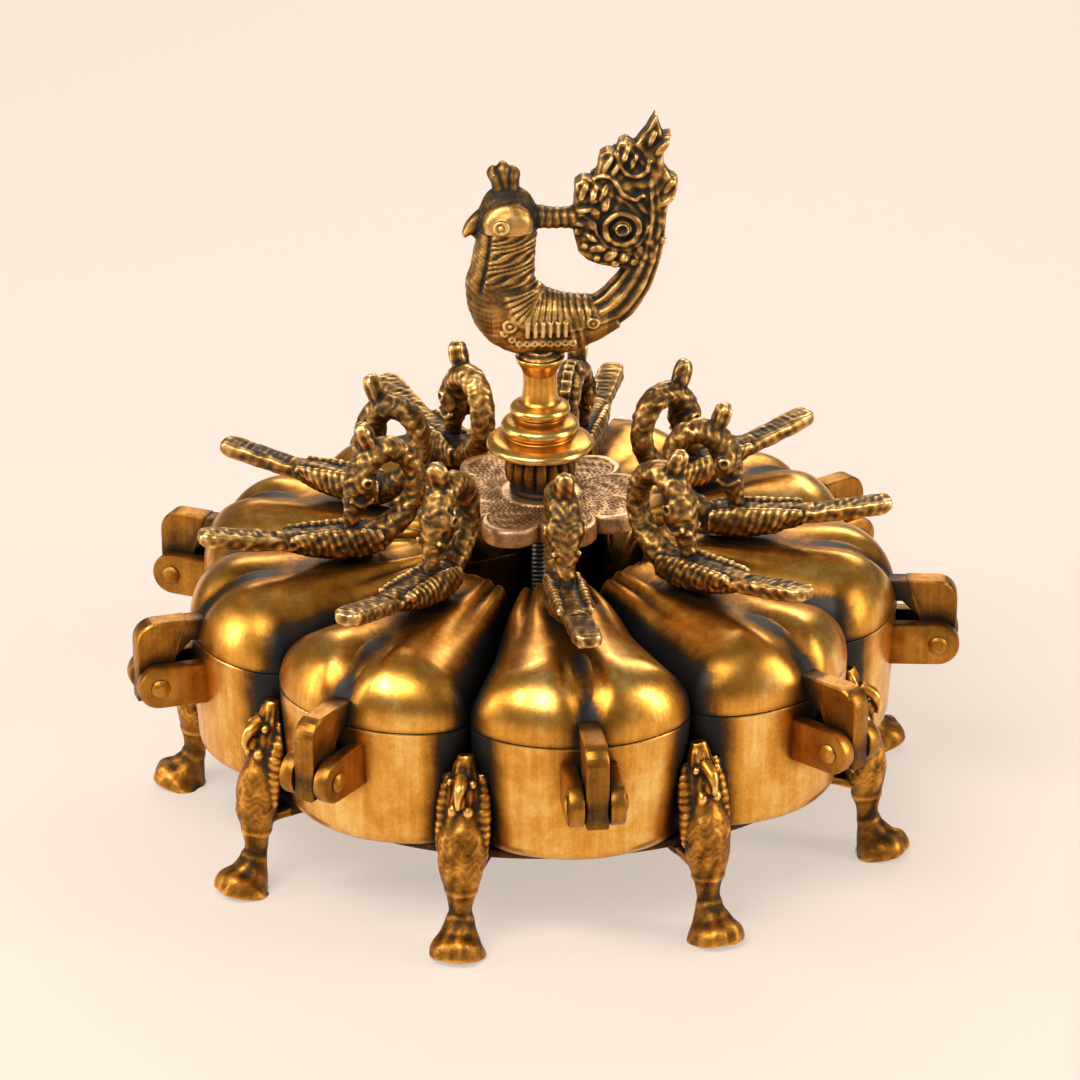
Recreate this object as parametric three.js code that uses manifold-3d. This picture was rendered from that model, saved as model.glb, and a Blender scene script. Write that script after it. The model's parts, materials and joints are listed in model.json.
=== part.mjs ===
// A brass spice box: nine petal-shaped cups in a ring, each with its own domed, hinged lid and a cast bird
// for a handle. A flower-shaped plate under a screw-on peacock finial clamps all the lids down.
// Millimetres, +Z up, origin on the central axis at floor level. The first petal points along -Y,
// turned PETAL_PHASE degrees towards +X, and the others follow anticlockwise seen from above.
import * as THREE from "three";
import { mergeVertices } from "three/addons/utils/BufferGeometryUtils.js";
import Module from "manifold-3d";

const wasm = await Module();
wasm.setup();

// ---------- driving dimensions ----------
const PETALS = 9;
const PETAL_PHASE = 5; // degrees
const PETAL_REACH = 115; // axis to the outer end of a cup
const VALLEY_DEPTH = 15.4; // the valleys between petals lie this far inside the reach
const PETAL_ROUNDNESS = 1.8; // exponent of a petal's end curve: 2 is an ellipse
const INNER_END = 32; // axis to the inner end of a cup
const GATHER_LENGTH = 26; // the inner end narrows over this length
const GATHER = 0.3; // share of its width that the inner end loses
const FIT_GAP = 0.3; // between pieces that touch or are joined

const STAND_HEIGHT = 30.4; // floor to the underside of the cups
const CUP_HEIGHT = 40;
const CUP_WALL = 2.4;
const CUP_FLOOR = 2.6;
const CUP_DRAFT = 2; // the underside is this much smaller, each side
const CUP_BOTTOM_ROUND = 3.5;

const LID_RISE = 21.4; // seam to ridge
const LID_WALL = 2.2;
const LID_END_ROUND = 23; // length of the rounding at the outer end
const LID_TIP_ROUND = 8; // length of the rounding at the inner end
const LID_SQUARENESS = 2.3; // exponent of the dome's section
const DOME_SIDES = 6;

const PIN_RADIUS = 2;
const PIN_HEAD_RADIUS = 3.1;
const PIN_HEAD_THICKNESS = 1.1;
const PIN_OUTSET = 13.3; // petal end to the hinge axis
const PIN_DROP = 11.9; // rim to the hinge axis
const PIN_SIDES = 8;
const PIN_CLEARANCE = 0.3; // pin to bore, so that faceted bores still turn
const ARM_WIDTH = 7;
const ARM_THICKNESS = 8; // height of the hinge arm where it leaves the lid
const KNUCKLE_RADIUS = 6;
const EAR_RADIUS = 6.9;
const EAR_THICKNESS = 4.8;
const EAR_CLEARANCE = 0.4; // each side of the arm
const LID_OPENING = 105; // degrees, where the knuckle's heel meets the stop block
const STOP_CLEARANCE = 0.5;

const BASE_OUTSET = 3.9; // the base plate reaches this far past the valleys
const BASE_SIDES = 54;
const BASE_THICKNESS = 3;
const ROD_RADIUS = 2.9;
const ROD_SIDES = 12;
const ROD_CLEARANCE = 0.45;
const ROD_STANDOUT = 19; // rod above the clamp plate, as the box is shown
const NUT_ACROSS_CORNERS = 12.6;
const NUT_HEIGHT = 4.6;
const WASHER_RADIUS = 9;
const WASHER_THICKNESS = 1.2;

const FOOT_OUTSET = 19; // valley to the middle of a foot's pad
const FOOT_ABOVE_STAND = 32.6; // top of a foot above the underside of the cups
const FOOT_SIDES = 8;
const FOOT_TANG_LENGTH = 26;
const FOOT_TANG_WIDTH = 12;
const FOOT_TANG_THICKNESS = 3;

const CLAMP_RADIUS = 35.5; // to the tips of its lobes
const CLAMP_LOBES = 9;
const CLAMP_LOBE_DEPTH = 9; // the notches between the lobes lie this far inside
const CLAMP_PHASE = 17; // degrees, from -Y to the first lobe
const CLAMP_LIFT = 8.9; // lid ridges to the rim of the plate, as the box is shown
const CLAMP_THICKNESS = 3;
const CLAMP_RIM_HEIGHT = 6;
const CLAMP_RIM_THICKNESS = 2.5;
const SPIGOT_RADIUS = 5.4;
const RETAINER_RADIUS = 8.6;
const RETAINER_THICKNESS = 1.5;
const BULB_RADIUS = 11.4;
const BULB_HEIGHT = 14;
const STEM_RADIUS = 5.2;
const STEM_HEIGHT = 31.5;
const PEACOCK_LENGTH = 59.2; // beak to the tip of the tail
const PEACOCK_HEIGHT = 81.5;

// ---------- sizes that the stations of the cast figures are given for ----------
const FOOT_AS_GIVEN = 63;
const PEACOCK_LENGTH_AS_GIVEN = 61.7;
const PEACOCK_HEIGHT_AS_GIVEN = 89.6;

// ---------- values that follow ----------
const HALF_PETAL = Math.PI / PETALS;
const CUP_RIM = STAND_HEIGHT + CUP_HEIGHT;
const SEAM = CUP_RIM + FIT_GAP;
const RIDGE = SEAM + LID_RISE;
const PIN_AT = new THREE.Vector2(PETAL_REACH + PIN_OUTSET, CUP_RIM - PIN_DROP);
const PIN_BORE = PIN_RADIUS + PIN_CLEARANCE;
const EAR_INNER = ARM_WIDTH / 2 + EAR_CLEARANCE;
const EAR_OUTER = EAR_INNER + EAR_THICKNESS;
const BASE_TOP = STAND_HEIGHT - FIT_GAP;
const BASE_UNDER = BASE_TOP - BASE_THICKNESS;
const ROD_BORE = ROD_RADIUS + ROD_CLEARANCE;
const VALLEY = PETAL_REACH - VALLEY_DEPTH;
const BASE_RADIUS = VALLEY + BASE_OUTSET;
const FOOT_REACH = VALLEY + FOOT_OUTSET;
const CLAMP_TOP = RIDGE + CLAMP_LIFT + CLAMP_RIM_HEIGHT;
const CLAMP_UNDER = CLAMP_TOP - CLAMP_THICKNESS;
const ROD_TOP = CLAMP_TOP + ROD_STANDOUT;
const BULB_BASE = CLAMP_TOP + FIT_GAP;
const STEM_BASE = BULB_BASE + BULB_HEIGHT + FIT_GAP;
const PEACOCK_BASE = STEM_BASE + STEM_HEIGHT + FIT_GAP;

// ---------- materials ----------
const brass = (color, roughness) => new THREE.MeshStandardMaterial({ color, roughness, metalness: 1 });
const polishedBrass = brass(0xb98434, 0.3);
const antiqueBrass = brass(0x8a6430, 0.5);
const turnedBrass = brass(0xb07c34, 0.3);
const engravedBrass = brass(0xa88348, 0.5);
const steel = new THREE.MeshStandardMaterial({ color: 0x6f6a62, roughness: 0.5, metalness: 1 });

// ---------- small tools ----------
const v3 = (x, y, z) => new THREE.Vector3(x, y, z);
const range = (count) => Array.from({ length: count }, (_, i) => i);
const clamp01 = (x) => Math.min(1, Math.max(0, x));

// A closed geometry as a manifold-3d solid.
function solid(geometry) {
  const g = geometry.clone();
  g.deleteAttribute("normal");
  g.deleteAttribute("uv");
  const merged = mergeVertices(g, 1e-4);
  const vertProperties = merged.attributes.position.array;
  return new wasm.Manifold(new wasm.Mesh({ numProp: 3, vertProperties, triVerts: merged.index.array }));
}

function geometryOf(made) {
  const mesh = made.getMesh();
  const g = new THREE.BufferGeometry();
  g.setAttribute("position", new THREE.BufferAttribute(new Float32Array(mesh.vertProperties), 3));
  g.setIndex(new THREE.BufferAttribute(new Uint32Array(mesh.triVerts), 1));
  g.computeVertexNormals();
  return g;
}

const join = (...geometries) => geometries.map(solid).reduce((a, b) => a.add(b));

// A skin over rings of points, closed at both ends with a fan, faces outward whichever way the rings run.
function loft(rings) {
  const count = rings[0].length;
  const centres = [rings[0], rings.at(-1)].map((ring) =>
    ring.reduce((sum, p) => sum.add(p), v3(0, 0, 0)).divideScalar(count),
  );
  const points = [...rings.flat(), ...centres];
  const last = (rings.length - 1) * count;
  const faces = [];
  for (const j of range(count)) {
    const next = (j + 1) % count;
    for (const i of range(rings.length - 1)) {
      const [a, b] = [i * count + j, i * count + next];
      faces.push([a, b, b + count], [a, b + count, a + count]);
    }
    faces.push([points.length - 2, next, j], [points.length - 1, last + j, last + next]);
  }
  const signed = ([a, b, c]) => points[a].dot(points[b].clone().cross(points[c]));
  const volume = faces.reduce((sum, face) => sum + signed(face), 0);
  if (volume < 0) faces.forEach((face) => face.reverse());
  const g = new THREE.BufferGeometry();
  g.setAttribute("position", new THREE.Float32BufferAttribute(points.flatMap((p) => p.toArray()), 3));
  g.setIndex(faces.flat());
  return g;
}

// An upright flat shape in the XZ plane, given thickness along Y about the middle.
function plateXZ(shape, thickness, middle = 0) {
  const options = { depth: thickness, bevelEnabled: false, curveSegments: 5 };
  const g = new THREE.ExtrudeGeometry(shape, options);
  return g.rotateX(Math.PI / 2).translate(0, middle + thickness / 2, 0);
}

function lathe(outline, sides) {
  const points = outline.map(([r, z]) => new THREE.Vector2(r, z));
  return new THREE.LatheGeometry(points, sides).rotateX(Math.PI / 2);
}

function disc(radius, bottom, top, sides) {
  return new THREE.CylinderGeometry(radius, radius, top - bottom, sides)
    .rotateX(Math.PI / 2)
    .translate(0, 0, (top + bottom) / 2);
}

// A round bar along Y at a point of the XZ plane.
function barAlongY(radius, length, at, sides, middle = 0) {
  return new THREE.CylinderGeometry(radius, radius, length, sides).translate(at.x, middle, at.y);
}

// A round bar between two points of the XZ plane, from one radius to the other.
function rodBetween(from, to, radiusFrom, radiusTo, sides) {
  const along = v3(to[0] - from[0], 0, to[1] - from[1]);
  const g = new THREE.CylinderGeometry(radiusTo, radiusFrom, along.length(), sides);
  g.applyQuaternion(new THREE.Quaternion().setFromUnitVectors(v3(0, 1, 0), along.clone().normalize()));
  return g.translate((from[0] + to[0]) / 2, 0, (from[1] + to[1]) / 2);
}

// A limb along a path in the XZ plane: each station is [x, z, half width in the plane, half thickness].
function limb(stations, sides) {
  const rings = stations.map(([x, z, wide, thick], i) => {
    const before = stations[Math.max(0, i - 1)];
    const after = stations[Math.min(stations.length - 1, i + 1)];
    const across = new THREE.Vector2(before[1] - after[1], after[0] - before[0]).normalize();
    return range(sides).map((j) => {
      const turn = (2 * Math.PI * j) / sides;
      const reach = wide * Math.cos(turn);
      return v3(x + across.x * reach, thick * Math.sin(turn), z + across.y * reach);
    });
  });
  return loft(rings);
}

// ---------- the petal outline that cups and lids share ----------
// Stations from the inner end to the outer end, as {x, w}: distance from the axis and half width.
function petalStations(inset) {
  const side = FIT_GAP / 2 + inset;
  const halfAngle = (r) => HALF_PETAL - Math.asin(side / r);
  const start = INNER_END + inset;
  const valley = PETAL_REACH - VALLEY_DEPTH - inset;
  const straight = [0, 2, 9, 26].map((d) => {
    const x = start + d;
    const open = clamp01((x - INNER_END) / GATHER_LENGTH);
    const corner = d === 0 ? 0.8 : 1;
    return { x, w: x * Math.tan(halfAngle(x)) * corner * (1 - GATHER * (1 - open) ** 2) };
  });
  const end = [1, 0.85, 0.62, 0.36, 0.12].map((s) => {
    const round = (1 - s ** PETAL_ROUNDNESS) ** (1 / PETAL_ROUNDNESS);
    const r = valley + VALLEY_DEPTH * round;
    const angle = s * halfAngle(r);
    return { x: r * Math.cos(angle), w: r * Math.sin(angle) };
  });
  return [...straight, ...end];
}

function petalRing(inset, z) {
  const stations = petalStations(inset);
  return [
    ...stations.map(({ x, w }) => v3(x, w, z)),
    ...stations.toReversed().map(({ x, w }) => v3(x, -w, z)),
  ];
}

// The cup's outer body; grown by a gap it cuts room for the feet.
function cupBody(grown = 0) {
  return loft([
    petalRing(CUP_DRAFT + CUP_BOTTOM_ROUND - grown, STAND_HEIGHT - grown),
    petalRing(CUP_DRAFT - grown, STAND_HEIGHT + CUP_BOTTOM_ROUND),
    petalRing(-grown, CUP_RIM),
  ]);
}

// ---------- cup: open casting with two hinge ears and a stop block between them ----------
function cup() {
  const hollow = loft([
    petalRing(CUP_WALL + CUP_DRAFT, STAND_HEIGHT + CUP_FLOOR),
    petalRing(CUP_WALL, CUP_RIM),
    petalRing(CUP_WALL, CUP_RIM + 1),
  ]);
  const root = PETAL_REACH - CUP_DRAFT - CUP_WALL / 2; // the ears grow out of the wall
  const ear = new THREE.Shape();
  ear.moveTo(root, PIN_AT.y - EAR_RADIUS);
  ear.lineTo(PIN_AT.x, PIN_AT.y - EAR_RADIUS);
  ear.absarc(PIN_AT.x, PIN_AT.y, EAR_RADIUS, -Math.PI / 2, Math.PI / 2);
  ear.lineTo(root, PIN_AT.y + EAR_RADIUS);
  const heelReach = Math.hypot(KNUCKLE_RADIUS, KNUCKLE_RADIUS);
  const heelAngle = THREE.MathUtils.degToRad(-45 - LID_OPENING);
  const stopFace = PIN_AT.x + heelReach * Math.cos(heelAngle) - STOP_CLEARANCE;
  const stop = new THREE.Shape();
  stop.moveTo(root, PIN_AT.y - EAR_RADIUS);
  stop.lineTo(stopFace, PIN_AT.y - EAR_RADIUS);
  stop.lineTo(stopFace, PIN_AT.y - 1);
  stop.lineTo(root, PIN_AT.y - 1);
  const earMiddle = (EAR_INNER + EAR_OUTER) / 2;
  return join(
    cupBody(),
    plateXZ(ear, EAR_THICKNESS, earMiddle),
    plateXZ(ear, EAR_THICKNESS, -earMiddle),
    plateXZ(stop, 2 * EAR_INNER + 1),
  )
    .subtract(solid(hollow))
    .subtract(solid(barAlongY(PIN_BORE, 4 * EAR_OUTER, PIN_AT, PIN_SIDES)));
}

// ---------- lid: hollow dome with the hinge arm ----------
function domeHeight(x, inset) {
  const rise = LID_RISE - inset;
  const end = PETAL_REACH - inset;
  const tip = INNER_END + inset;
  const overEnd = clamp01((x - (end - LID_END_ROUND)) / LID_END_ROUND);
  const overTip = clamp01((tip + LID_TIP_ROUND - x) / LID_TIP_ROUND);
  const atEnd = (1 - overEnd ** 2.2) ** (1 / 2.2);
  const atTip = Math.sqrt(1 - 0.9 * overTip ** 2);
  return Math.max(rise * atEnd * atTip, 2.5);
}

function dome(inset, bottom) {
  const rings = petalStations(inset).map(({ x, w }) => {
    const rise = domeHeight(x, inset);
    const arc = range(DOME_SIDES + 1).map((i) => {
      const turn = (Math.PI * i) / DOME_SIDES;
      const across = Math.sign(Math.cos(turn)) * Math.abs(Math.cos(turn)) ** (2 / LID_SQUARENESS);
      return v3(x, w * across, SEAM + rise * Math.sin(turn) ** (2 / LID_SQUARENESS));
    });
    return [v3(x, w, bottom), ...arc.slice(0, -1), v3(x, -w, SEAM), v3(x, -w, bottom)];
  });
  return loft(rings);
}

function lid() {
  const armRoot = PETAL_REACH - 10;
  const armTop = SEAM + ARM_THICKNESS;
  const knuckleOut = PIN_AT.x + KNUCKLE_RADIUS;
  const arm = new THREE.Shape();
  arm.moveTo(armRoot, SEAM + FIT_GAP);
  arm.lineTo(PETAL_REACH + 1.6, SEAM + FIT_GAP);
  arm.lineTo(PIN_AT.x - KNUCKLE_RADIUS, PIN_AT.y + KNUCKLE_RADIUS);
  arm.lineTo(PIN_AT.x - KNUCKLE_RADIUS, PIN_AT.y);
  arm.absarc(PIN_AT.x, PIN_AT.y, KNUCKLE_RADIUS, Math.PI, 1.5 * Math.PI);
  arm.lineTo(knuckleOut, PIN_AT.y - KNUCKLE_RADIUS);
  arm.lineTo(knuckleOut, armTop - 5);
  arm.lineTo(knuckleOut - 4, armTop - 1);
  arm.lineTo(PIN_AT.x - KNUCKLE_RADIUS, armTop);
  arm.lineTo(armRoot, armTop);
  return join(dome(0, SEAM - 0.01), plateXZ(arm, ARM_WIDTH))
    .subtract(solid(dome(LID_WALL, SEAM - 1)))
    .subtract(solid(barAlongY(PIN_BORE, 2 * ARM_WIDTH, PIN_AT, PIN_SIDES)));
}

// ---------- hinge pin: shank with a head on each side of the ears ----------
function hingePin() {
  const headMiddle = EAR_OUTER + FIT_GAP + PIN_HEAD_THICKNESS / 2;
  return join(
    barAlongY(PIN_RADIUS, 2 * headMiddle, PIN_AT, PIN_SIDES),
    barAlongY(PIN_HEAD_RADIUS, PIN_HEAD_THICKNESS, PIN_AT, PIN_SIDES, headMiddle),
    barAlongY(PIN_HEAD_RADIUS, PIN_HEAD_THICKNESS, PIN_AT, PIN_SIDES, -headMiddle),
  );
}

// ---------- bird on a lid: boat-shaped body, looped neck, long flat tail on a post ----------
function bird() {
  const seat = RIDGE + FIT_GAP;
  const x = (fromInnerEnd) => INNER_END + fromInnerEnd;
  const body = limb(
    [
      [x(20), seat + 5.5, 3.5, 3.5],
      [x(24), seat + 5, 5, 5.5],
      [x(32), seat + 4.6, 4.6, 6.2],
      [x(42), seat + 5, 4.2, 5],
      [x(52), seat + 7.2, 2.8, 3.8],
    ],
    6,
  );
  const tailRoot = x(46);
  const tailEnd = PETAL_REACH - 1;
  const tailX = (share) => tailRoot + share * (tailEnd - tailRoot);
  const tail = limb(
    [
      [tailRoot, seat + 6.6, 2.2, 3.6],
      [tailX(0.45), seat + 9.6, 2.3, 3.9],
      [tailX(0.9), seat + 12.6, 2.3, 4.1],
      [tailEnd, seat + 13.4, 1.8, 2.6],
    ],
    5,
  );
  const loop = new THREE.TorusGeometry(8.2, 3.2, 5, 10).rotateX(Math.PI / 2).scale(1, 1, 1.35);
  loop.translate(x(18.8), 0, seat + 23.5);
  const neck = rodBetween([x(24), seat + 4], [x(19), seat + 13], 4.4, 3.6, 6);
  const crest = rodBetween([x(24), seat + 34], [x(27), seat + 44], 2.8, 2.2, 5);
  const head = rodBetween([x(26.5), seat + 22], [x(31.5), seat + 8.6], 4.4, 1.8, 6);
  return join(body, tail, loop, neck, crest, head);
}

// ---------- foot: cabriole leg in a valley, with a tang under the base plate ----------
function foot() {
  const at = (z) => (z / FOOT_AS_GIVEN) * (STAND_HEIGHT + FOOT_ABOVE_STAND);
  const stations = [
    [FOOT_REACH, 0, 9.5, 9.5],
    [FOOT_REACH - 0.6, at(2), 9.6, 9.6],
    [FOOT_REACH - 3, at(6), 6.6, 6.8],
    [FOOT_REACH - 5.4, at(12), 4, 4],
    [FOOT_REACH - 6, at(19), 4.6, 5],
    [FOOT_REACH - 6.4, at(27), 6.8, 7.2],
    [FOOT_REACH - 7.6, at(36), 7, 7.6],
    [FOOT_REACH - 10, at(45), 5.6, 6],
    [FOOT_REACH - 12, at(54), 4, 4.4],
    [FOOT_REACH - 13.6, at(FOOT_AS_GIVEN), 2.6, 2.6],
  ];
  const leg = loft(
    stations.map(([x, z, deep, wide]) =>
      range(FOOT_SIDES).map((j) => {
        const turn = (2 * Math.PI * j) / FOOT_SIDES;
        return v3(x + deep * Math.cos(turn), wide * Math.sin(turn), z);
      }),
    ),
  );
  const tangEnd = FOOT_REACH - 6;
  const tangTop = BASE_UNDER - FIT_GAP;
  const tang = new THREE.BoxGeometry(FOOT_TANG_LENGTH, FOOT_TANG_WIDTH, FOOT_TANG_THICKNESS).translate(
    tangEnd - FOOT_TANG_LENGTH / 2,
    0,
    tangTop - FOOT_TANG_THICKNESS / 2,
  );
  const neighbour = (side) => solid(cupBody(FIT_GAP).rotateZ(side * HALF_PETAL));
  const plateRoom = disc(BASE_RADIUS + FIT_GAP, tangTop, STAND_HEIGHT, BASE_SIDES);
  return join(leg, tang).subtract(neighbour(1)).subtract(neighbour(-1)).subtract(solid(plateRoom));
}

// ---------- base plate, rod and its nuts ----------
const basePlate = () =>
  solid(disc(BASE_RADIUS, BASE_UNDER, BASE_TOP, BASE_SIDES)).subtract(
    solid(disc(ROD_BORE, BASE_UNDER - 1, BASE_TOP + 1, ROD_SIDES)),
  );

const washerUnder = BASE_UNDER - FIT_GAP - WASHER_THICKNESS;
const nutUnder = washerUnder - FIT_GAP - NUT_HEIGHT;
const ring = (radius, bottom, top, sides) =>
  solid(disc(radius, bottom, top, sides)).subtract(solid(disc(ROD_BORE, bottom - 1, top + 1, ROD_SIDES)));
const nut = (bottom) => ring(NUT_ACROSS_CORNERS / 2, bottom, bottom + NUT_HEIGHT, 6);
const centreRod = () => solid(disc(ROD_RADIUS, nutUnder - 1.5, ROD_TOP, ROD_SIDES));

// ---------- clamp plate, its retainer and the finial ----------
// A flower-shaped plate with a rim turned down all round it.
function clampPlate() {
  const lobed = (inset, z) =>
    range(CLAMP_LOBES * 8).map((j) => {
      const turn = (2 * Math.PI * j) / (CLAMP_LOBES * 8);
      const lobe = Math.abs(Math.cos((turn * CLAMP_LOBES) / 2)) ** 0.6;
      const r = CLAMP_RADIUS - CLAMP_LOBE_DEPTH * (1 - lobe) - inset;
      const from = turn + THREE.MathUtils.degToRad(CLAMP_PHASE - 90);
      return v3(r * Math.cos(from), r * Math.sin(from), z);
    });
  const rimUnder = CLAMP_TOP - CLAMP_RIM_HEIGHT;
  const whole = loft([lobed(0, rimUnder), lobed(0, CLAMP_TOP - 1), lobed(1, CLAMP_TOP)]);
  const hollow = loft([lobed(CLAMP_RIM_THICKNESS, rimUnder - 1), lobed(CLAMP_RIM_THICKNESS, CLAMP_UNDER)]);
  const bore = disc(SPIGOT_RADIUS + PIN_CLEARANCE, rimUnder - 1, CLAMP_TOP + 1, 24);
  return solid(whole).subtract(solid(hollow)).subtract(solid(bore));
}

function retainer() {
  const top = CLAMP_UNDER - FIT_GAP;
  const inner = SPIGOT_RADIUS + PIN_CLEARANCE;
  return solid(
    lathe(
      [
        [inner, top - RETAINER_THICKNESS],
        [RETAINER_RADIUS, top - RETAINER_THICKNESS],
        [RETAINER_RADIUS, top],
        [inner, top],
        [inner, top - RETAINER_THICKNESS],
      ],
      16,
    ),
  );
}

function finialBulb() {
  const spigotEnd = CLAMP_UNDER - FIT_GAP - RETAINER_THICKNESS;
  return solid(
    lathe(
      [
        [0, spigotEnd],
        [SPIGOT_RADIUS, spigotEnd],
        [SPIGOT_RADIUS, BULB_BASE],
        [BULB_RADIUS * 0.72, BULB_BASE],
        [BULB_RADIUS * 0.96, BULB_BASE + BULB_HEIGHT * 0.3],
        [BULB_RADIUS, BULB_BASE + BULB_HEIGHT * 0.6],
        [BULB_RADIUS * 0.8, BULB_BASE + BULB_HEIGHT],
        [0, BULB_BASE + BULB_HEIGHT],
      ],
      16,
    ),
  ).subtract(solid(disc(ROD_BORE, spigotEnd - 1, STEM_BASE, ROD_SIDES)));
}

function finialStem() {
  const top = STEM_BASE + STEM_HEIGHT;
  const bored = top - 4;
  return solid(
    lathe(
      [
        [0, STEM_BASE],
        [15, STEM_BASE],
        [16.8, STEM_BASE + 1.6],
        [15.4, STEM_BASE + 3.6],
        [10.6, STEM_BASE + 5.4],
        [12.2, STEM_BASE + 7.8],
        [10.6, STEM_BASE + 10],
        [8, STEM_BASE + 11.4],
        [9.6, STEM_BASE + 13.6],
        [8, STEM_BASE + 15.8],
        [STEM_RADIUS + 0.4, STEM_BASE + 18],
        [STEM_RADIUS, top - 5],
        [STEM_RADIUS + 3, top],
        [0, top],
      ],
      16,
    ),
  ).subtract(solid(disc(ROD_BORE, STEM_BASE - 1, bored, ROD_SIDES)));
}

// Head towards -X, tail towards +X, curling up and over to a bar behind the head.
// The figure is made as its stations give it, then scaled to the size above.
function peacock() {
  const body = limb(
    [
      [25, 16, 6, 5],
      [16, 13.4, 9, 7],
      [4, 12, 11.8, 8],
      [-7, 15, 13.4, 8.5],
      [-12.4, 24, 12.4, 8.3],
      [-12, 34, 10.4, 7.4],
      [-11, 44, 9.8, 7.2],
      [-10.5, 53, 10.4, 8.2],
      [-10.5, 59.5, 8, 6.4],
      [-10.5, 63, 3, 2.8],
    ],
    10,
  );
  const tail = limb(
    [
      [18, 14.5, 6.5, 5.5],
      [27, 21, 7.4, 5],
      [33, 32, 6.8, 4.5],
      [34.6, 46, 7, 4.5],
      [32, 58, 11, 4.5],
      [29, 66, 13, 4.2],
      [30, 75, 8, 3.6],
      [35, 83, 4, 3],
      [37.4, PEACOCK_HEIGHT_AS_GIVEN, 1, 1.6],
    ],
    8,
  );
  const flower = barAlongY(10, 8.6, new THREE.Vector2(18.5, 46.5), 12);
  const bar = rodBetween([-6, 51.5], [14, 51], 3.6, 3.6, 8);
  const beak = rodBetween([-16, 50], [-24.3, 45.5], 4, 1, 6);
  const crest = rodBetween([-10.5, 61], [-13, 72.6], 3.6, 1.6, 6);
  const seat = disc(STEM_RADIUS + 3, PEACOCK_BASE, PEACOCK_BASE + 3, 16);
  const scale = [PEACOCK_LENGTH / PEACOCK_LENGTH_AS_GIVEN, 1, PEACOCK_HEIGHT / PEACOCK_HEIGHT_AS_GIVEN];
  const figure = join(body, tail, flower, bar, beak, crest).scale(scale).translate([0, 0, PEACOCK_BASE]);
  return figure.add(solid(seat));
}

// ---------- assembly ----------
const box = new THREE.Group();

function place(name, geometry, material, parent = box) {
  const mesh = new THREE.Mesh(geometry, material);
  mesh.name = name;
  parent.add(mesh);
}

const petalPieces = [
  ["cup", geometryOf(cup()), polishedBrass],
  ["lid", geometryOf(lid()), polishedBrass],
  ["hinge_pin", geometryOf(hingePin()), antiqueBrass],
  ["bird", geometryOf(bird()), antiqueBrass],
];
const footGeometry = geometryOf(foot());

for (const i of range(PETALS)) {
  const petal = new THREE.Group();
  petal.rotation.z = THREE.MathUtils.degToRad(PETAL_PHASE - 90) + 2 * HALF_PETAL * i;
  for (const [name, geometry, material] of petalPieces) place(`${name}_${i + 1}`, geometry, material, petal);
  const valley = new THREE.Group();
  valley.rotation.z = petal.rotation.z + HALF_PETAL;
  place(`foot_${i + 1}`, footGeometry, antiqueBrass, valley);
  box.add(petal, valley);
}

place("base_plate", geometryOf(basePlate()), antiqueBrass);
place("centre_rod", geometryOf(centreRod()), steel);
place("rod_washer", geometryOf(ring(WASHER_RADIUS, washerUnder, washerUnder + WASHER_THICKNESS, 20)), steel);
place("rod_nut", geometryOf(nut(nutUnder)), steel);
place("rod_lock_nut", geometryOf(nut(BASE_TOP + FIT_GAP)), steel);
place("clamp_plate", geometryOf(clampPlate()), engravedBrass);
place("plate_retainer", geometryOf(retainer()), turnedBrass);
place("finial_bulb", geometryOf(finialBulb()), antiqueBrass);
place("finial_stem", geometryOf(finialStem()), turnedBrass);
place("peacock", geometryOf(peacock()), antiqueBrass);

export default box;
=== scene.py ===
"""Looks for a nine-petal brass spice box with domed lids, cast birds and a screw-on peacock finial."""
import json
import math

import bpy
import numpy as np
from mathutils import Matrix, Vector

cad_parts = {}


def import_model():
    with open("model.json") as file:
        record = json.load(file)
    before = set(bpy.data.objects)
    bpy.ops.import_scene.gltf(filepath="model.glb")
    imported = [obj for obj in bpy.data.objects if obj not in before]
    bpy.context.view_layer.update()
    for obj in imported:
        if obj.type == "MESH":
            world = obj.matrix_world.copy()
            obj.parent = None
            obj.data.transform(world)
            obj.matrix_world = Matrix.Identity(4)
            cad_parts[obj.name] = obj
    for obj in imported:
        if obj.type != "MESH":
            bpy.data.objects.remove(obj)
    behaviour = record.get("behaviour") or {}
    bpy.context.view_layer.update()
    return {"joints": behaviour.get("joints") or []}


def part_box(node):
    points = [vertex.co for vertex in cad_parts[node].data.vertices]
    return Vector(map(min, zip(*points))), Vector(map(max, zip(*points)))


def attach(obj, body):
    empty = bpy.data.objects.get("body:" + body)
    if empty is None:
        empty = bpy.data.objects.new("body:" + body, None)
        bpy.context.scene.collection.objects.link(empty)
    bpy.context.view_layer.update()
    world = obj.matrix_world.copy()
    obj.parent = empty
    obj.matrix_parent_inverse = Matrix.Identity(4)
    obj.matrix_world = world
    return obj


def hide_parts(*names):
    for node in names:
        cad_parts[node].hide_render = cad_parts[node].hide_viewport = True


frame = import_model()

# ---------- sizes in millimetres, read from the frame where it holds them ----------
MM = 0.001


def box_mm(node):
    low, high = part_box(node)
    return np.array(low) / MM, np.array(high) / MM


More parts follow.
